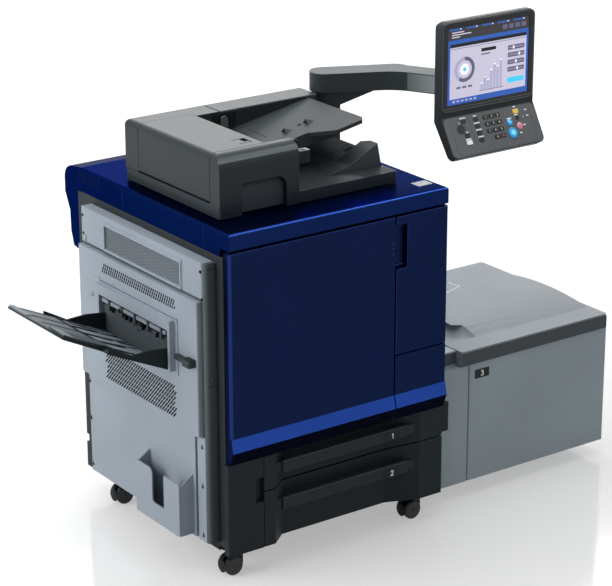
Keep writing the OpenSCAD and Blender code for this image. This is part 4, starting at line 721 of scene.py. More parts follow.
def makeExitParts():
    # the roller strip, rollers, paper hooks and pins
    wall = reach("exit_collar", "x0") + exitParts["wallDepth"]
    where = leftPlane(wall - 2)
    rollers = bmesh.new()
    addPlate(rollers, where, *exitParts["strip"], -0.5, 5.0, 1)
    addPlate(rollers, where, *exitParts["shadow"], -0.5, 1.0, 1, 2)
    for y, z in exitParts["rollers"]:
        for side in (-5, 5):
            axle = sideways((wall - 3, y + side, z), (1, 0, 0), (0, 0, 1))
            addTurned(rollers, axle, (0, 0), [(7, -4), (9, -3), (9, 3), (7, 4)], 24, 2)
        addPlate(rollers, where, -y - 2, z - 16, -y + 2, z - 4, 0, 7, 1.5, 2)
    for y, z in exitParts["hooks"]:
        hook = [(-y - 4, z - 7), (-y + 1, z - 7), (-y + 4, z + 7), (-y - 1, z + 7)]
        addPrism(rollers, where, hook, -0.5, 6, 2)
    for y, z in exitParts["pins"]:
        addTurned(rollers, where, (-y, z), [(3, -0.5), (3, 0.4), (0, 0.4)], 12, 2)
    u0, v0, u1, v1 = exitParts["firstTooth"]
    for k in range(exitParts["teeth"]):
        along = k * exitParts["toothPitch"]
        addPlate(rollers, where, u0 + along, v0, u1 + along, v1, -0.5, 3.0, 1, 1)
    makePiece("exit_rollers", rollers, ["panelGrey", "frameGrey", "seamDark"], "cabinet", 0.5)


# slope in degrees, a point (x, z) that its top passes, and outlines as (x, y) in engine millimetres
tray = dict(
    slope=24.8, start=-20, seat=(-50, 602),
    inner=[(-60, 570), (-60, 226), (-222, 226), (-222, 316), (-234, 404), (-222, 572)],
    leaf=[(-232, 576), (-240, 404), (-231, 318), (-300, 318), (-372, 318), (-380, 420), (-380, 556),
          (-365, 577)],
    tip=[(-350, 579), (-350, 480), (-380, 462), (-380.5, 557), (-365.5, 578.5)],
    wing=[(-228, 252), (-228, 312), (-330, 330), (-372, 346), (-377, 256), (-345, 250)],
    wingEnd=[(-374, 338), (-376.5, 257), (-346, 251), (-344, 330)],
    firstRib=[(-238, 254), (-243, 254), (-249, 312), (-244, 312)], ribs=7, ribPitch=13,
    slots=[((-200, 540), (-66, 548), 15), ((-200, 540), (-118, 512), 11), ((-186, 415), (-66, 446), 14),
           ((-206, 345), (-70, 380), 14), ((-62, 505), (-120, 500), 20), ((-62, 420), (-108, 416), 20)],
    hinge=[(-226, 579), (-232, 404), (-223, 300)], hingeWidth=18,
)


def makeTrayParts():
    # light skins on the tray and its leaf, the leaf's tip, the folded wing and the slots; the inner skin is
    # lighter than the leaf's, painted light against the machine's shade
    t, start = math.radians(tray["slope"]), tray["start"]
    x, z = tray["seat"]
    where = sideways((start, 0, z - (start - x) * math.tan(t)), (0, 1, 0), (-math.cos(t), 0, math.sin(t)))

    def onTray(points):    # across runs from front to back, up runs outwards
        return [(y, (start - x) / math.cos(t)) for x, y in points]

    skins, tip, wing, slots = (bmesh.new() for _ in range(4))
    addPrism(skins, where, onTray(tray["inner"]), -1, 1.2, 1)
    addPrism(skins, where, onTray(tray["leaf"]), -1, 3.4)
    makePiece("tray_skins", skins, ["trayTop", "trayPaintedLight"], "cabinet", 0.8)
    addPrism(tip, where, onTray(tray["tip"]), 3.4, 5.6)
    makePiece("tray_tip", tip, ["trayTip"], "cabinet", 1.0)
    addPrism(wing, where, onTray(tray["wing"]), 1.0, 7.5)
    for k in range(tray["ribs"]):
        rib = [(x - k * tray["ribPitch"], y) for x, y in tray["firstRib"]]
        addPrism(wing, where, onTray(rib), 7.4, 8.3, 1)
    addPrism(wing, where, onTray(tray["wingEnd"]), 7.4, 8.8, 2)
    makePiece("tray_wing", wing, ["armGrey", "trayTop", "trayTip"], "cabinet", 1.0)
    for a, b, wide in tray["slots"]:
        addStroke(slots, where, *onTray((a, b)), wide, 1.0, 1.7)
    for ends in zip(tray["hinge"], tray["hinge"][1:]):
        addStroke(slots, where, *onTray(ends), tray["hingeWidth"], 0.9, 3.8)
    makePiece("tray_slots", slots, ["seamDark"], "cabinet")


def makeLeverCap():
    x0, y0, x1, z1 = reach("release_lever", "x0 y0 x1 z1")
    cap = bmesh.new()
    addPlate(cap, topPlane(z1), x0 + 2, y0 + 2, x1 - 1, y0 + 30, -0.4, 1.6, 5)
    makePiece("lever_cap", cap, ["charcoal"], "cabinet", 0.7)


makeUpperSheet()
makeVents()
makeExitSurround()
makeSideFixings()
makeCornerCap()
makeExitParts()
makeTrayParts()
makeLeverCap()
print("stage: left side")

coverParts = dict(topScrews=[(48, 787), (43, 584), (42, 531), (42, 201), (742, 200)], topScrew=9.0,
                  skirtScrews=[(429, 999), (367, 1000), (238, 999)], skirtScrew=10.0, seams=(550, 126),
                  louvres=7, firstLouvre=797, louvrePitch=18.5, plate=(692, 52, 744, 92))


def makeCoverParts():
    # screws, seams, louvres and the bare plate of the top cover
    x0, z0 = reach("top_cover", "x0 z0")
    z1 = reach("feeder_base", "z0") - 3.5    # the cover's flat top
    left, top = leftPlane(x0), topPlane(z1)
    screws, seams, louvres, plate = (bmesh.new() for _ in range(4))
    for x, y in coverParts["topScrews"]:
        addScrew(screws, top, x, y, coverParts["topScrew"])
    for y, z in coverParts["skirtScrews"]:
        addScrew(screws, left, -y, z, coverParts["skirtScrew"])
    makePiece("cover_screws", screws, ["doorNavy", "seamDark"], "cabinet")
    for y in coverParts["seams"]:
        addPlate(seams, left, -y - 0.6, z0 + 2, -y + 0.6, z1 - 6, -0.2, 0.3)
    makePiece("cover_seams", seams, ["stripBlue"], "cabinet")
    for k in range(coverParts["louvres"]):
        y = coverParts["firstLouvre"] - k * coverParts["louvrePitch"]
        addPlate(louvres, left, -y - 3, z1 - 42, -y + 3, z1 - 9, -0.2, 0.25, 2.5)
    makePiece("duct_louvres", louvres, ["doorNavy"], "cabinet")
    addPlate(plate, top, *coverParts["plate"], -0.2, 0.6, 2)
    makePiece("bare_plate", plate, ["labelPale"], "cabinet")


# heights of the doors' edges; the grip recess is cut into the toner door's left edge
doors = dict(top=987, split=563, round=8, highlightTurn=40.0, dots=(909, 894, 878), dotX=561,
             gripLow=828, gripHigh=961, gripRim=(606, 613.5), gripDepth=15, lining=(573, 831, 611, 959),
             ledge=(574, 838, 611, 841), ledgeDepth=13.5)


def makeDoorParts():
    # sensor dots on the door, and the lining of the grip recess
    dots, grip = bmesh.new(), bmesh.new()
    door = frontPlane(reach("front_door", "y0"))
    for z in doors["dots"]:
        addTurned(dots, door, (doors["dotX"], z), [(1.0, -0.2), (1.0, 0.3), (0, 0.3)], 10)
    makePiece("door_dots", dots, ["labelPale"], "front_door")
    addPlate(grip, frontPlane(doors["gripDepth"]), *doors["lining"], -1.2, -0.1, 3)
    makePiece("grip_lining", grip, ["doorNavy"], "toner_door")


def addEdgeHighlight(bm, x, y, z0, z1, r, turn):
    # a thin shell on a rounded upright left edge, centred on the corner's middle: a painted highlight along
    # that edge
    arc = [math.radians(225 - turn + 2 * turn * i / 8) for i in range(9)]
    outline = [(x + (r + 0.25) * math.cos(a), y + (r + 0.25) * math.sin(a)) for a in arc]
    outline += [(x + (r - 0.3) * math.cos(a), y + (r - 0.3) * math.sin(a)) for a in arc[::-1]]
    addPrism(bm, topPlane(0), outline, z0, z1)


def makeEdgeHighlights():
    # painted highlights: light edges of the doors, and light lines along the outline of the grip recess and
    # the ledge in it
    top, r = doors["top"], doors["round"]
    x0, y0, x1 = reach("front_door", "x0 y0 x1")
    highlights = bmesh.new()
    addEdgeHighlight(highlights, x0 + r, y0 + r, reach("door_strip", "z1") + 2, top - 2, r, doors["highlightTurn"])
    addPlate(highlights, frontPlane(y0), x0 + r, top - 3, x1 - 1, top - 1, *hairline)
    makePiece("door_highlights", highlights, ["paintedHighlightBlue"], "front_door")
    x0, y0, x1 = reach("toner_door", "x0 y0 x1")
    low, high = doors["gripLow"], doors["gripHigh"]
    bend, rim = doors["gripRim"]
    where = frontPlane(y0)
    highlights = bmesh.new()
    for box in ((x0 + 0.5, doors["split"] + 6, x0 + 2.5, low), (x0 + 0.5, high, x0 + 2.5, top - 2),
                (x0 + 2, top - 3, x1 - 8, top - 1), (rim - 2, low + 5, rim, high)):
        addPlate(highlights, where, *box, *hairline)
    addStroke(highlights, where, (x0 + 1, low), (bend, low), 2.0, *hairline)
    addStroke(highlights, where, (bend, low), (rim - 1, low + 6), 2.0, *hairline)
    addPlate(highlights, frontPlane(y0 + doors["ledgeDepth"]), *doors["ledge"], -0.3, 2)
    makePiece("toner_highlights", highlights, ["paintedHighlightBlue"], "toner_door")


# the slope under the bright strips and where the door strip's front bends; the dark skins on them are painted
# shade
stripPaintedShade = dict(run=17, rise=42, tall=44, bend=39, lean=9)


def makeStripPaintedShade():
    x0, y0, z0, y1, z1 = reach("door_strip", "x0 y0 z0 y1 z1")
    run = stripPaintedShade["run"]
    slope = sideways((0, y0 + run, z0), (1, 0, 0), (0, -run, stripPaintedShade["rise"]))
    for node, name, body in (("door_strip", "strip_painted_shade", "front_door"),
                             ("cover_strip", "cover_strip_painted_shade", "cabinet")):
        left, right = reach(node, "x0 x1")
        shade = bmesh.new()
        addPlate(shade, slope, left + 0.4, 0.6, right - 0.4, stripPaintedShade["tall"], -0.3, 0.35)
        makePiece(name, shade, ["paintedShadeBlue"], body)
    # a dark skin on the door strip's left end: painted shade
    front, back = -y0 - 1, 0.3 - y1
    outline = [(back, z0 + 0.3), (front - run + 0.7, z0 + 0.3), (front, z1 - stripPaintedShade["bend"]),
               (front - stripPaintedShade["lean"], z1 - 0.3), (back, z1 - 0.3)]
    end = bmesh.new()
    addPrism(end, leftPlane(x0), outline, -0.3, 0.3)
    makePiece("strip_end_painted_shade", end, ["doorNavy"], "front_door")


makeCoverParts()
makeDoorParts()
makeEdgeHighlights()
makeStripPaintedShade()
print("stage: doors and top cover")

# shares of the height for screws and seams; vents run from the far edge, negative ones from the near edge
backParts = dict(screw=9.0, inset=18, screwRows=(0.34, 0.66), seam=0.40, slot=6.0,
                 vents=((80, 470, 260, 560), (-250, 470, -70, 560), (70, 70, 300, 150)),
                 sideInset=22, sideRow=0.62, sideSeam=0.55)


def makeBackParts():
    # vents, seams and screws of the back
    x0, z0, x1, y1, z1 = reach("back_panel", "x0 z0 x1 y1 z1")
    back = sideways((x0, y1, z0), (-1, 0, 0), (0, 0, 1))
    wide, tall, inset = x1 - x0, z1 - z0, backParts["inset"]
    screws, seams, vents = bmesh.new(), bmesh.new(), bmesh.new()
    for u in (-inset, -wide / 2, inset - wide):
        for v in (20, *(tall * row for row in backParts["screwRows"])):
            addScrew(screws, back, u, v, backParts["screw"])
    makePiece("back_screws", screws, ["brightSteel", "seamDark"], "cabinet")
    height = tall * backParts["seam"]
    addPlate(seams, back, 14 - wide, height, -14, height + 1.6, *hairline)
    addPlate(seams, back, -wide / 2 - 0.8, 14, -wide / 2 + 0.8, height, *hairline)
    makePiece("back_seams", seams, ["seamDark"], "cabinet")
    slot = backParts["slot"]
    for u0, v0, u1, v1 in backParts["vents"]:
        start = u0 - wide if u0 > 0 else u0    # from the far or the near edge
        for i in range(int((u1 - u0) / slot / 2)):
            u = start + 2 * i * slot
            addPlate(vents, back, u, v0, u + slot, v1, *hairline, 2.5)
    makePiece("back_vents", vents, ["seamDark"], "cabinet")


def makeRightParts():
    # screws and the seam of the right side
    y0, z0, x1, y1, z1 = reach("side_frame_right", "y0 z0 x1 y1 z1")
    right = sideways((x1, y0, z0), (0, 1, 0), (0, 0, 1))
    deep, tall, inset = y1 - y0, z1 - z0, backParts["sideInset"]
    screws, seam = bmesh.new(), bmesh.new()
    for u in (inset, deep - inset):
        for v in (tall - 30, tall * backParts["sideRow"]):
            addScrew(screws, right, u, v, backParts["screw"])
    makePiece("right_screws", screws, ["brightSteel", "seamDark"], "cabinet")
    height = tall * backParts["sideSeam"]
    addPlate(seam, right, 10, height, deep - 10, height + 1.4, *hairline)
    makePiece("right_seam", seam, ["seamDark"], "cabinet")


# number plates: place on the front, finish, height and shift of the digit, how proud the plate is
plates = {
    "1": dict(box=(544, 297, 597, 324), coat="charcoal", size=15, shift=2, proud=0.9),
    "2": dict(box=(541, 179, 597, 206), coat="charcoal", size=15, shift=2, proud=0.9),
    "3": dict(box=(941, 380, 997, 409), coat="frameGrey", size=16, shift=1, proud=0.8),
}


def makeNumberPlate(figure, y, body):
    x0, z0, x1, z1 = plates[figure]["box"]
    proud = plates[figure]["proud"]
    centre = ((x0 + x1) / 2 + plates[figure]["shift"], (z0 + z1) / 2)
    plate = bmesh.new()
    addPlate(plate, frontPlane(y), x0, z0, x1, z1, -0.3, proud, 2)
    addDigit(plate, frontPlane(y), figure, centre, plates[figure]["size"], proud - 0.1, proud + 0.4, 1)
    makePiece("number_plate_" + figure, plate, [plates[figure]["coat"], "digitWhite"], body, 0.3)


makeBackParts()
makeRightParts()
for drawer in "12":
    makeNumberPlate(drawer, reach("drawer_handle_" + drawer, "y0"), "drawer_" + drawer)
print("stage: back, right side and drawers")

# the latch's two plates in the feed cover's recess, as (left, front, right, back)
latchBoxes = ((171, 199, 195, 237), (195, 199, 211, 209))


def makeLatchPlate():
    plate = bmesh.new()
    for box in latchBoxes:
        addPlate(plate, topPlane(reach("feeder_housing", "z1")), *box, -7.2, -0.6, 1)
    makePiece("latch_plate", plate, ["feederGrey"], "feeder_flap", 0.5)


# the straight part and the round corner of the grip's bulge
gripShape = dict(start=124.5, flat=241.0, slices=10, step=3, corner=30.0, cornerZ=1104, foot=1050, bend=1090,
                 face=-130, back=-145.5, deep=15, drop=45)


def makeGripBulge():
    # the rounded grip behind the arch, in slices that follow its round corner; its lighter grey is painted
    # light on the bulge
    grip = bmesh.new()
    face, foot, bend = gripShape["face"], gripShape["foot"], gripShape["bend"]
    back, flat, step = gripShape["back"], gripShape["flat"], gripShape["step"]
    for i in range(gripShape["slices"] + 1):    # the first is the straight part
        right = flat + i * step
        left = right - step if i else gripShape["start"]
        past = max(0, right - flat - step / 2)    # how far this slice is into the corner
        top = gripShape["cornerZ"] + math.sqrt(max(0, gripShape["corner"] ** 2 - past ** 2))
        side = [(back, foot), (face, foot), (face, bend)]
        for k in range(1, 9):
            z = bend + (top - bend) * k / 8
            lean = 1 - math.sqrt(max(0, 1 - ((z - bend) / gripShape["drop"]) ** 2))
            side.append((face - gripShape["deep"] * lean, z))
        side.append((back, top))
        addPrism(grip, leftPlane(0), side, -right, -left)
    makePiece("grip_bulge", grip, ["gripPaintedLight"], "feeder", 0, 50)


# seams of the feeder's covers; the left side's are upright ones at these depths, then level ones
feederSeams = dict(upright=(537, 164), low=((-536, -165, 2.6), (-600, -538, 1.4)), topEnd=229,
                   notch=(121, 275))


def makeFeederSeams():
    x0, y0, z0, x1, z1 = reach("feeder_housing", "x0 y0 z0 x1 z1")
    left, front = leftPlane(x0), frontPlane(y0)
    cover = feederSeams["upright"][1]
    lines, rail = bmesh.new(), bmesh.new()
    for y in feederSeams["upright"]:
        addPlate(lines, left, -y - 0.8, z0 + 4, -y + 0.8, z1 - 14, -0.2, 0.25)
    for u0, u1, high in feederSeams["low"]:
        addPlate(lines, left, u0, z0 + 0.2, u1, z0 + high, -0.2, 0.25)
    addPlate(lines, topPlane(z1), x0 + 14, cover - 0.8, feederSeams["topEnd"], cover + 0.8, -0.2, 0.25)
    for u0, u1 in ((x0 + 8, feederSeams["notch"][0]), (feederSeams["notch"][1], x1 - 2)):
        addPlate(lines, front, u0, z0 + 0.2, u1, z0 + 1.6, -0.2, 0.2)
    makePiece("feeder_seams", lines, ["seamDark"], "feeder")
    # a light line along the rail's top edge: painted highlight
    x0, y0, x1, z1 = reach("feeder_rail", "x0 y0 x1 z1")
    addPlate(rail, topPlane(z1), x0 + 2, y0 + 1.2, x1 - 3, y0 + 2.4, -0.2, 0.2)
    makePiece("rail_highlight", rail, ["highlightAndPaleGrey"], "feeder")


# the exit ramp: points on its front as (x, z), boxes on its slope from the foot
ramp = dict(front=190, foot=(546, 0, 1089.3), rise=0.278, hole=(62, 272, 92, 306),
            crease=[(470, 1081), (546, 1097), (645, 1147.4)],
            gusset=[(474, 1080.6), (658.5, 1080.6), (645, 1146), (546, 1096)],
            lines=((-2, 319, 103, 321.5), (-2, 256, 40, 258.5)))


def makeRampParts():
    # painted highlight along the gusset's crease, a lighter skin on the gusset's face as painted light, the
    # hole and the lines behind it
    where = frontPlane(ramp["front"])
    crease, face, holes = bmesh.new(), bmesh.new(), bmesh.new()
    for a, b in zip(ramp["crease"], ramp["crease"][1:]):
        addStroke(crease, where, a, b, 1.8, -0.4, 0.4)
    makePiece("ramp_crease_highlight", crease, ["highlightAndPaleGrey"], "feeder")
    addPrism(face, where, ramp["gusset"], -0.3, 0.3)
    makePiece("ramp_face_painted_light", face, ["wallGrey"], "feeder")
    rise = math.atan(ramp["rise"])
    slope = sideways(ramp["foot"], (math.cos(rise), 0, math.sin(rise)), (0, 1, 0))
    addPlate(holes, slope, *ramp["hole"], -0.4, 0.5, 2)
    for box in ramp["lines"]:
        addPlate(holes, slope, *box, -0.4, 0.4)
    makePiece("ramp_hole", holes, ["seamDark"], "feeder")


# parts in the feeder's cavity, as (x, z) on fronts at these depths
guide = dict(
    block=(315, 1150, 372, 1186), blockFront=165, blockDeep=24,
    rim=((338.6, 141.6, 371.4, 164.4), (343, 146, 362, 158)),
    tab=[(315, 1220), (329, 1221), (339, 1217), (345, 1206), (341.5, 1205), (336.5, 1214), (328.5, 1217.5),
         (315, 1216.5)], tabFront=184, tabDeep=30,
    bracketFront=511.5, bracket=(290, 1176, 368, 1219), ear=(340, 1184, 352, 1214),
    boss=[(312, 1178), (338, 1176), (336, 1204), (328, 1212), (313, 1209)],
)


def makeGuideParts():
    # the guide block and its rim, the curved tab and the bracket behind them
    block, rim, tab, bracket = (bmesh.new() for _ in range(4))
    addPlate(block, frontPlane(guide["blockFront"]), *guide["block"], 0, guide["blockDeep"], 2)
    makePiece("guide_block", block, ["charcoal"], "feeder", 1.2)
    outer, inner = guide["rim"]
    addBand(rim, topPlane(guide["block"][3]), rounded(*outer, 2), rounded(*inner, 1), -0.3, 1.6)
    makePiece("guide_rim", rim, ["highlightAndPaleGrey"], "feeder", 0.4)
    addPrism(tab, frontPlane(guide["tabFront"]), guide["tab"], 0, guide["tabDeep"])
    makePiece("curved_tab", tab, ["trayGrey"], "feeder", 0.5)
    wall = frontPlane(guide["bracketFront"])
    addPlate(bracket, wall, *guide["bracket"], -0.4, 3, 2)
    addPrism(bracket, wall, guide["boss"], 2.8, 9, 1)
    addPlate(bracket, wall, *guide["ear"], 2.8, 6, 2)
    makePiece("cavity_bracket", bracket, ["seamDark", "highlightAndPaleGrey"], "feeder", 0.5)


# points as (x, y) in engine millimetres; a mark is a line between two of them and its width
documentTray = dict(slope=10.5, foot=(316, 0, 1160), bumps=((438, 345), (516, 347)), bumpHigh=13,
                    bumpFoot=((-13, 15), (-13, -13), (16, -4)), bumpTip=(-11, 3), hole=(486, 355),
                    marks=((380, 465, 375, 363, 2.6), (353, 506, 349, 354, 1.2)))


def makeDocumentParts():
    # two bumps, the sensor hole and two lines on the document tray
    t = math.radians(documentTray["slope"])
    where = sideways(documentTray["foot"], (math.cos(t), 0, math.sin(t)), (0, 1, 0))

    def onTray(x, y):
        return ((x - documentTray["foot"][0]) / math.cos(t), y)

    bumps, marks = bmesh.new(), bmesh.new()
    for u, v in (onTray(*place) for place in documentTray["bumps"]):
        low = [bumps.verts.new(where @ Vector((u + du, v + dv, -0.3))) for du, dv in documentTray["bumpFoot"]]
        du, dv = documentTray["bumpTip"]
        tip = bumps.verts.new(where @ Vector((u + du, v + dv, documentTray["bumpHigh"])))
        bumps.faces.new(low[::-1])
        for i in range(3):
            bumps.faces.new((low[i], low[(i + 1) % 3], tip))
    makePiece("sheet_bumps", bumps, ["feederGrey"], "feeder", 0.5)
    addTurned(marks, where, onTray(*documentTray["hole"]), [(7, -0.3), (7, 0.25), (0, 0.25)], 20)
    for xa, ya, xb, yb, wide in documentTray["marks"]:
        addStroke(marks, where, onTray(xa, ya), onTray(xb, yb), wide, -0.3, 0.3)
    makePiece("tray_marks", marks, ["seamDark"], "feeder")


makeLatchPlate()
makeGripBulge()
makeFeederSeams()
makeRampParts()
makeGuideParts()
makeDocumentParts()
print("stage: document feeder")

arm = dict(root=(721.0, 557.0), elbow=(918.6, 464.9), wrist=(1036.9, 242.4), low=1219.0, top=1277.0,
           half=45.0, cap=(40, 38.6), seam=(0, 7.4, 160, 8.6), skinEnd=214, skinInset=5)


def armSide(a, b, out):
    # the drawing plane on the arm's side between two of its joints
    along = Vector((b[0] - a[0], b[1] - a[1])).normalized()
    start = Vector(a) + Vector((along.y, -along.x)) * out
    return sideways((*start, arm["low"]), (*along, 0), (0, 0, 1))


def makeArmParts():
    # cap ring and seam at the arm's root, and on the second part's side a pale skin: painted light, a lit
    # copy of the arm's plastic, darker toward one end as painted shade
    seams, skin = bmesh.new(), bmesh.new()
    outer, inner = (circle(0, 0, r, 48) for r in arm["cap"])
    addBand(seams, topPlane(arm["top"], *arm["root"]), outer, inner, -0.3, 0.3)
    addPlate(seams, armSide(arm["root"], arm["elbow"], arm["half"]), *arm["seam"], *hairline)
    makePiece("arm_seams", seams, ["panelBlack"], "swing_arm")
    side = armSide(arm["elbow"], arm["wrist"], arm["half"] - arm["skinInset"])
    addPlate(skin, side, 3, 3, arm["skinEnd"], arm["top"] - arm["low"] - 3, -0.3, 0.5, 3)
    makePiece("arm_painted_light", skin, ["armPaintedLight"], "swing_arm", 0.4)


# what the screen shows, in millimetres right and down from its upper left corner
picture = dict(head=36, tabs=5, tabPitch=60, marks=(46, 72, 30), chips=4, page=48, gauge=(64, 128),
               columns=(22, 40, 30, 58, 74, 66, 84), columnFoot=200, sliders=(0.3, 0.75, 0.5, 0.62),
               layer=0.06)


def makeScreen():
    x0, y0, z0, x1, z1 = reach("panel_screen", "x0 y0 z0 x1 z1")
    wide, tall = x1 - x0, z1 - z0
    where = sideways((x0, y0, z1), (1, 0, 0), (0, 0, 1))
    names = ["uiBlue", "uiDark", "uiPale", "uiWhite", "uiGrey", "uiCyan", "uiBlack", "uiSoft"]
    blue, dark, pale, white, grey, cyan, black, soft = range(len(names))
    bm = bmesh.new()

    def box(u0, v0, u1, v1, level, tint, r=0.0):
        low = level * picture["layer"]
        addPlate(bm, where, u0, -v1, u1, -v0, low, low + 0.1, r, tint)

    box(1, 1, wide - 1, tall - 1, 0, blue)
    box(1, 1, wide - 1, picture["head"], 1, dark)
    for k in range(picture["tabs"]):    # a bar of tabs
        u = picture["tabPitch"] * k
        box(6 + u, 2, 52 + u, 7.5, 2, blue, 2)
        box(44 + u, 3.4, 49 + u, 6.4, 3, white, 1)
    for k, long in enumerate(picture["marks"]):    # short marks in the head
        box(14, 12 + 7 * k, 14 + long, 15.5 + 7 * k, 2, pale, 1)
    for k in range(picture["chips"]):    # a row of chips beside them
        box(206 + 24 * k, 14, 224 + 24 * k, 28, 2, grey, 2)
    page = picture["page"]    # the pale page with its dark headline
    box(9, page, wide - 9, tall - 18, 1, pale)
    box(9, page, wide - 9, page + 10, 2, black)
    box(12, page + 14, wide - 12, page + 15.5, 2, grey)
    u, v = picture["gauge"]    # a round gauge with a hub
    addBand(bm, where, circle(u, -v, 38, 48), circle(u, -v, 27, 48), 0.12, 0.22, soft)
    arc = [(u + r * math.cos(math.radians(a)), r * math.sin(math.radians(a)) - v)
           for r, turns in ((38.0, range(90, -135, -9)), (27.0, range(-126, 99, 9))) for a in turns]
    addPrism(bm, where, arc, 0.2, 0.3, grey)
    addPrism(bm, where, circle(u, -v, 17, 32), 0.12, 0.25, white)
    addPrism(bm, where, circle(u, -v, 6, 20), 0.25, 0.35, cyan)
    for k in range(3):
        box(34 + 22 * k, 178, 50 + 22 * k, 184, 2, grey, 1)
    foot = picture["columnFoot"]    # a stepped curve of columns
    for k, high in enumerate(picture["columns"]):
        u = 126 + 12 * k
        box(u, foot - high, u + 8.5, foot, 2, soft)
        box(u, foot - high, u + 8.5, foot + 3.5 - high, 3, white)
    box(122, foot + 1, 214, foot + 2.5, 2, black)
    box(126, 74, 182, 84, 2, black, 1)
    box(126, 90, 160, 94, 2, grey)
    for k, part in enumerate(picture["sliders"]):    # slider rows and a chip on the right
        v = 80 + 22 * k
        box(228, v, 292, v + 14, 2, grey, 2)
        box(232, v + 6, 288, v + 8, 3, soft)
        box(232 + 50 * part, v + 2.5, 238 + 50 * part, v + 11.5, 4, white, 1)
    box(228, 178, 292, 194, 2, cyan, 3)
    for k in range(6):
        box(20 + 16 * k, tall - 13, 30 + 16 * k, tall - 7, 2, soft, 1)
    makePiece("screen_layout", bm, names, "panel")


def makeBezel():
    # the black bezel between the screen and the housing, and its light edge: a painted highlight round the
    # housing's front and a light bar under the screen
    glass = reach("panel_screen", "x0 z0 x1 z1")
    x0, x1, z1 = reach("panel_housing", "x0 x1 z1")
    where = frontPlane(reach("panel_screen", "y0") - 1)
    low = glass[1] - 12
    bezel, edge = bmesh.new(), bmesh.new()
    addBand(bezel, where, rounded(x0 + 5, low, x1 - 5, z1 - 5, 17), grown(glass, 0.5, 0.5), -0.3, 0.8)
    makePiece("screen_bezel", bezel, ["bezelBlack"], "panel", 0.5)
    outer = rounded(x0 + 1.5, low - 6, x1 - 1.5, z1 - 1.5, 21)
    addBand(edge, where, outer, rounded(x0 + 4.6, low - 3, x1 - 4.6, z1 - 4.6, 18), -0.3, 0.6)
    addPlate(edge, where, x0 + 12, low + 2, x1 - 12, low + 4.4, 0.7, 1.6, 1)
    makePiece("bezel_edge_highlight", edge, ["highlightAndPaleGrey"], "panel", 0.3)


# the key deck, in millimetres from its upper left corner; a label's third value is its length
deck = dict(
    bend=34, slope=30, skin=(3, -124, 349, -3), skinRound=16,
    labels=[(76, 10, 22), (122, 10, 12), (122, 32, 22), (122.6, 53, 22), (122.8, 74.5, 20), (244, 38, 18),
            (274, 30.5, 14), (275.5, 6, 9), (314, 21, 9), (315, 39, 9), (295, 65, 9), (273, 87, 9),
            (78, 54, 8), (75, 75, 20), (59, 24, 5)],
    divider=((98, -16), (98, -92)),
    frame=(((26, -12), (26, -109)), ((328, -12), (328, -109)), ((38, -121), (316, -121))),
    frameCorners=((38, 180), (316, 270)), frameRound=12, digitColumns=(160, 22.4), digitRows=(20, 41.7, 63.4),
    zero=(182.4, -85.1), digitHigh=5.8, mark=(199.5, -87.5, 210, -82.5),
    caps=((243, 82.5, 17, "keyBlue"), (242, 49.9, 10.5, "keyBlue"), (275.5, 65.6, 10.5, "keyPink")),
    dots=((243, 82.5, 9.5, "uiCyan"), (243, 82.5, 3.5, "keyWhite"), (242, 49.9, 5, "uiCyan")),
    flatCaps=(((265.5, -26.6, 285.3, -13.4), 2.4, "keyYellow"),
              ((65.2, -91.7, 84.8, -78.6), 1.6, "keyWhite")),
    rings=((59, 41.7, 17, 1.1), (243, 82.5, 19.4, 1.3)), lamps=((299, 20), (298, 40)),
)


def deckPlane():
    y0, z0 = reach("panel_screen", "y0 z0")
    t = math.radians(deck["slope"])
    corner = (reach("panel_housing", "x0"), y0 - 1, z0 - deck["bend"])
    return sideways(corner, (1, 0, 0), (0, math.sin(t), math.cos(t)))


def makeDeckPrint(where):
    # the deck's skin with its printed lines, labels and digits
    skin, lines, labels, digits, marks = (bmesh.new() for _ in range(5))
    addPlate(skin, where, *deck["skin"], -0.3, 0.35, deck["skinRound"])
    makePiece("deck_skin", skin, ["deckGrey"], "panel")
    addStroke(lines, where, *deck["divider"], 1.0, 0.3, 0.5)
    for a, b in deck["frame"]:
        addStroke(lines, where, a, b, 0.9, 0.3, 0.5)
    r = deck["frameRound"]
    for u, start in deck["frameCorners"]:
        turns = [math.radians(start + 15 * k) for k in range(7)]
        bend = [(u + r * math.cos(a), -109 + r * math.sin(a)) for a in turns]
        for a, b in zip(bend, bend[1:]):
            addStroke(lines, where, a, b, 0.9, 0.3, 0.5)
    makePiece("deck_lines", lines, ["panelBlack"], "panel")
    for u, v, long in deck["labels"]:
        addPlate(labels, where, u - long / 2, -v - 1.8, u + long / 2, -v + 1.8, 0.3, 0.5)
    makePiece("deck_labels", labels, ["labelWhite"], "panel")
    first, pitch = deck["digitColumns"]
    places = [(first + pitch * i, -v) for v in deck["digitRows"] for i in range(3)]
    for figure, place in zip("1234567890", [*places, deck["zero"]]):
        addDigit(digits, where, figure, place, deck["digitHigh"], 1.9, 2.2)
    makePiece("key_digits", digits, ["digitWhite"], "panel")
    addPlate(marks, where, *deck["mark"], 1.9, 2.2, 1)
    makePiece("key_mark", marks, ["keyRed"], "panel")


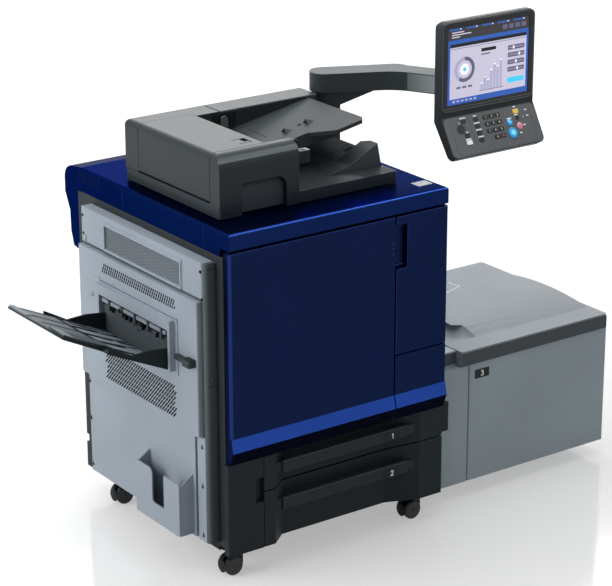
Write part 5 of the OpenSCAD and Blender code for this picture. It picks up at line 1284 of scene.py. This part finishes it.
def makeDeckKeys(where):
    # coloured caps over the plain keys, rings around the dials, and two lamps
    caps, rings, lights = bmesh.new(), bmesh.new(), bmesh.new()
    coats = ["keyBlue", "keyPink", "keyYellow", "keyWhite", "uiCyan"]
    for u, v, r, coat in deck["caps"]:
        dome = [(r + 0.3, 0.2), (r + 0.3, 2.0), (r - 1.0, 3.0), (r * 0.5, 3.3), (0, 3.4)]
        addTurned(caps, where, (u, -v), dome, 40, coats.index(coat))
    for u, v, r, coat in deck["dots"]:
        dot = [(r, 3.2), (r, 3.9 - 0.03 * r), (0, 4.0 - 0.03 * r)]
        addTurned(caps, where, (u, -v), dot, 28, coats.index(coat))
    for box, r, coat in deck["flatCaps"]:
        addPlate(caps, where, *box, 0.2, 2.6, r, coats.index(coat))
    makePiece("key_caps", caps, coats, "panel", 0.4)
    for u, v, r, wide in deck["rings"]:
        addBand(rings, where, circle(u, -v, r + wide / 2), circle(u, -v, r - wide / 2), 0.3, 0.6)
    makePiece("dial_rings", rings, ["armGrey"], "panel")
    for tint, (u, v) in enumerate(deck["lamps"]):
        addTurned(lights, where, (u, -v), [(1.8, 0.2), (1.6, 0.8), (0, 1.0)], 12, tint)
    makePiece("deck_lamps", lights, ["keyBlue", "labelWhite"], "panel")


makeArmParts()
makeScreen()
makeBezel()
makeDeckPrint(deckPlane())
makeDeckKeys(deckPlane())
print("stage: control panel")

# heights of the dark bands; the mark on the lid is a wire through (x, y, below the lid's top)
unit = dict(bandTop=475, sideBand=(438, 476), sideGap=4, sideBack=25, wire=1.4,
            mark=((1250, 596, 18.2), (1251, 566, 18.2), (1252, 540, 14.9), (1208, 520, 12), (1165, 500, 9.2)))


def makeUnitParts():
    # dark bands around the lid, and a white glowing wire along the moulded line on it: painted highlight
    x0, y0, z0, x1, z1 = reach("paper_unit_lid", "x0 y0 z0 x1 z1")
    band, side, line = bmesh.new(), bmesh.new(), bmesh.new()
    addPlate(band, frontPlane(y0), x0 + 1, z0 + 1, x1 - 1, unit["bandTop"], -0.3, 1.2, 3)
    makePiece("lid_band", band, ["unitDark"], "unit_lid", 1.0)
    low, high = unit["sideBand"]
    left, right = reach("paper_unit_shell", "x0") + 1, x0 - unit["sideGap"] - 1
    addPlate(side, frontPlane(y0 + unit["sideBack"]), left, low, right, high, -0.3, 1.2, 2)
    makePiece("side_band", side, ["unitDark"], "cabinet", 0.8)
    addTube(line, [(x, y, z1 - down) for x, y, down in unit["mark"]], unit["wire"], 8)
    makePiece("lid_line_highlight", line, ["labelWhite"], "unit_lid")


makeNumberPlate("3", reach("paper_unit_front", "y0"), "cabinet")
makeUnitParts()
print("stage: paper unit")

hub = [(20, -0.4), (20, 0.8), (18, 1.2), (10, 0.6), (9, 1.8), (0, 2.0)]


def makeHubs():
    for corner in corners:
        x0, y0, z0, x1, y1, z1 = reach("caster_wheels_" + corner, "x0 y0 z0 x1 y1 z1")
        hubs = bmesh.new()
        for x, across in ((x0, (0, -1, 0)), (x1, (0, 1, 0))):
            where = sideways((x, (y0 + y1) / 2, (z0 + z1) / 2), across, (0, 0, 1))
            addTurned(hubs, where, (0, 0), hub, 28)
        makePiece("hubs_" + corner, hubs, ["frameDark"], "wheels_" + corner)


makeHubs()
print("stage: casters")
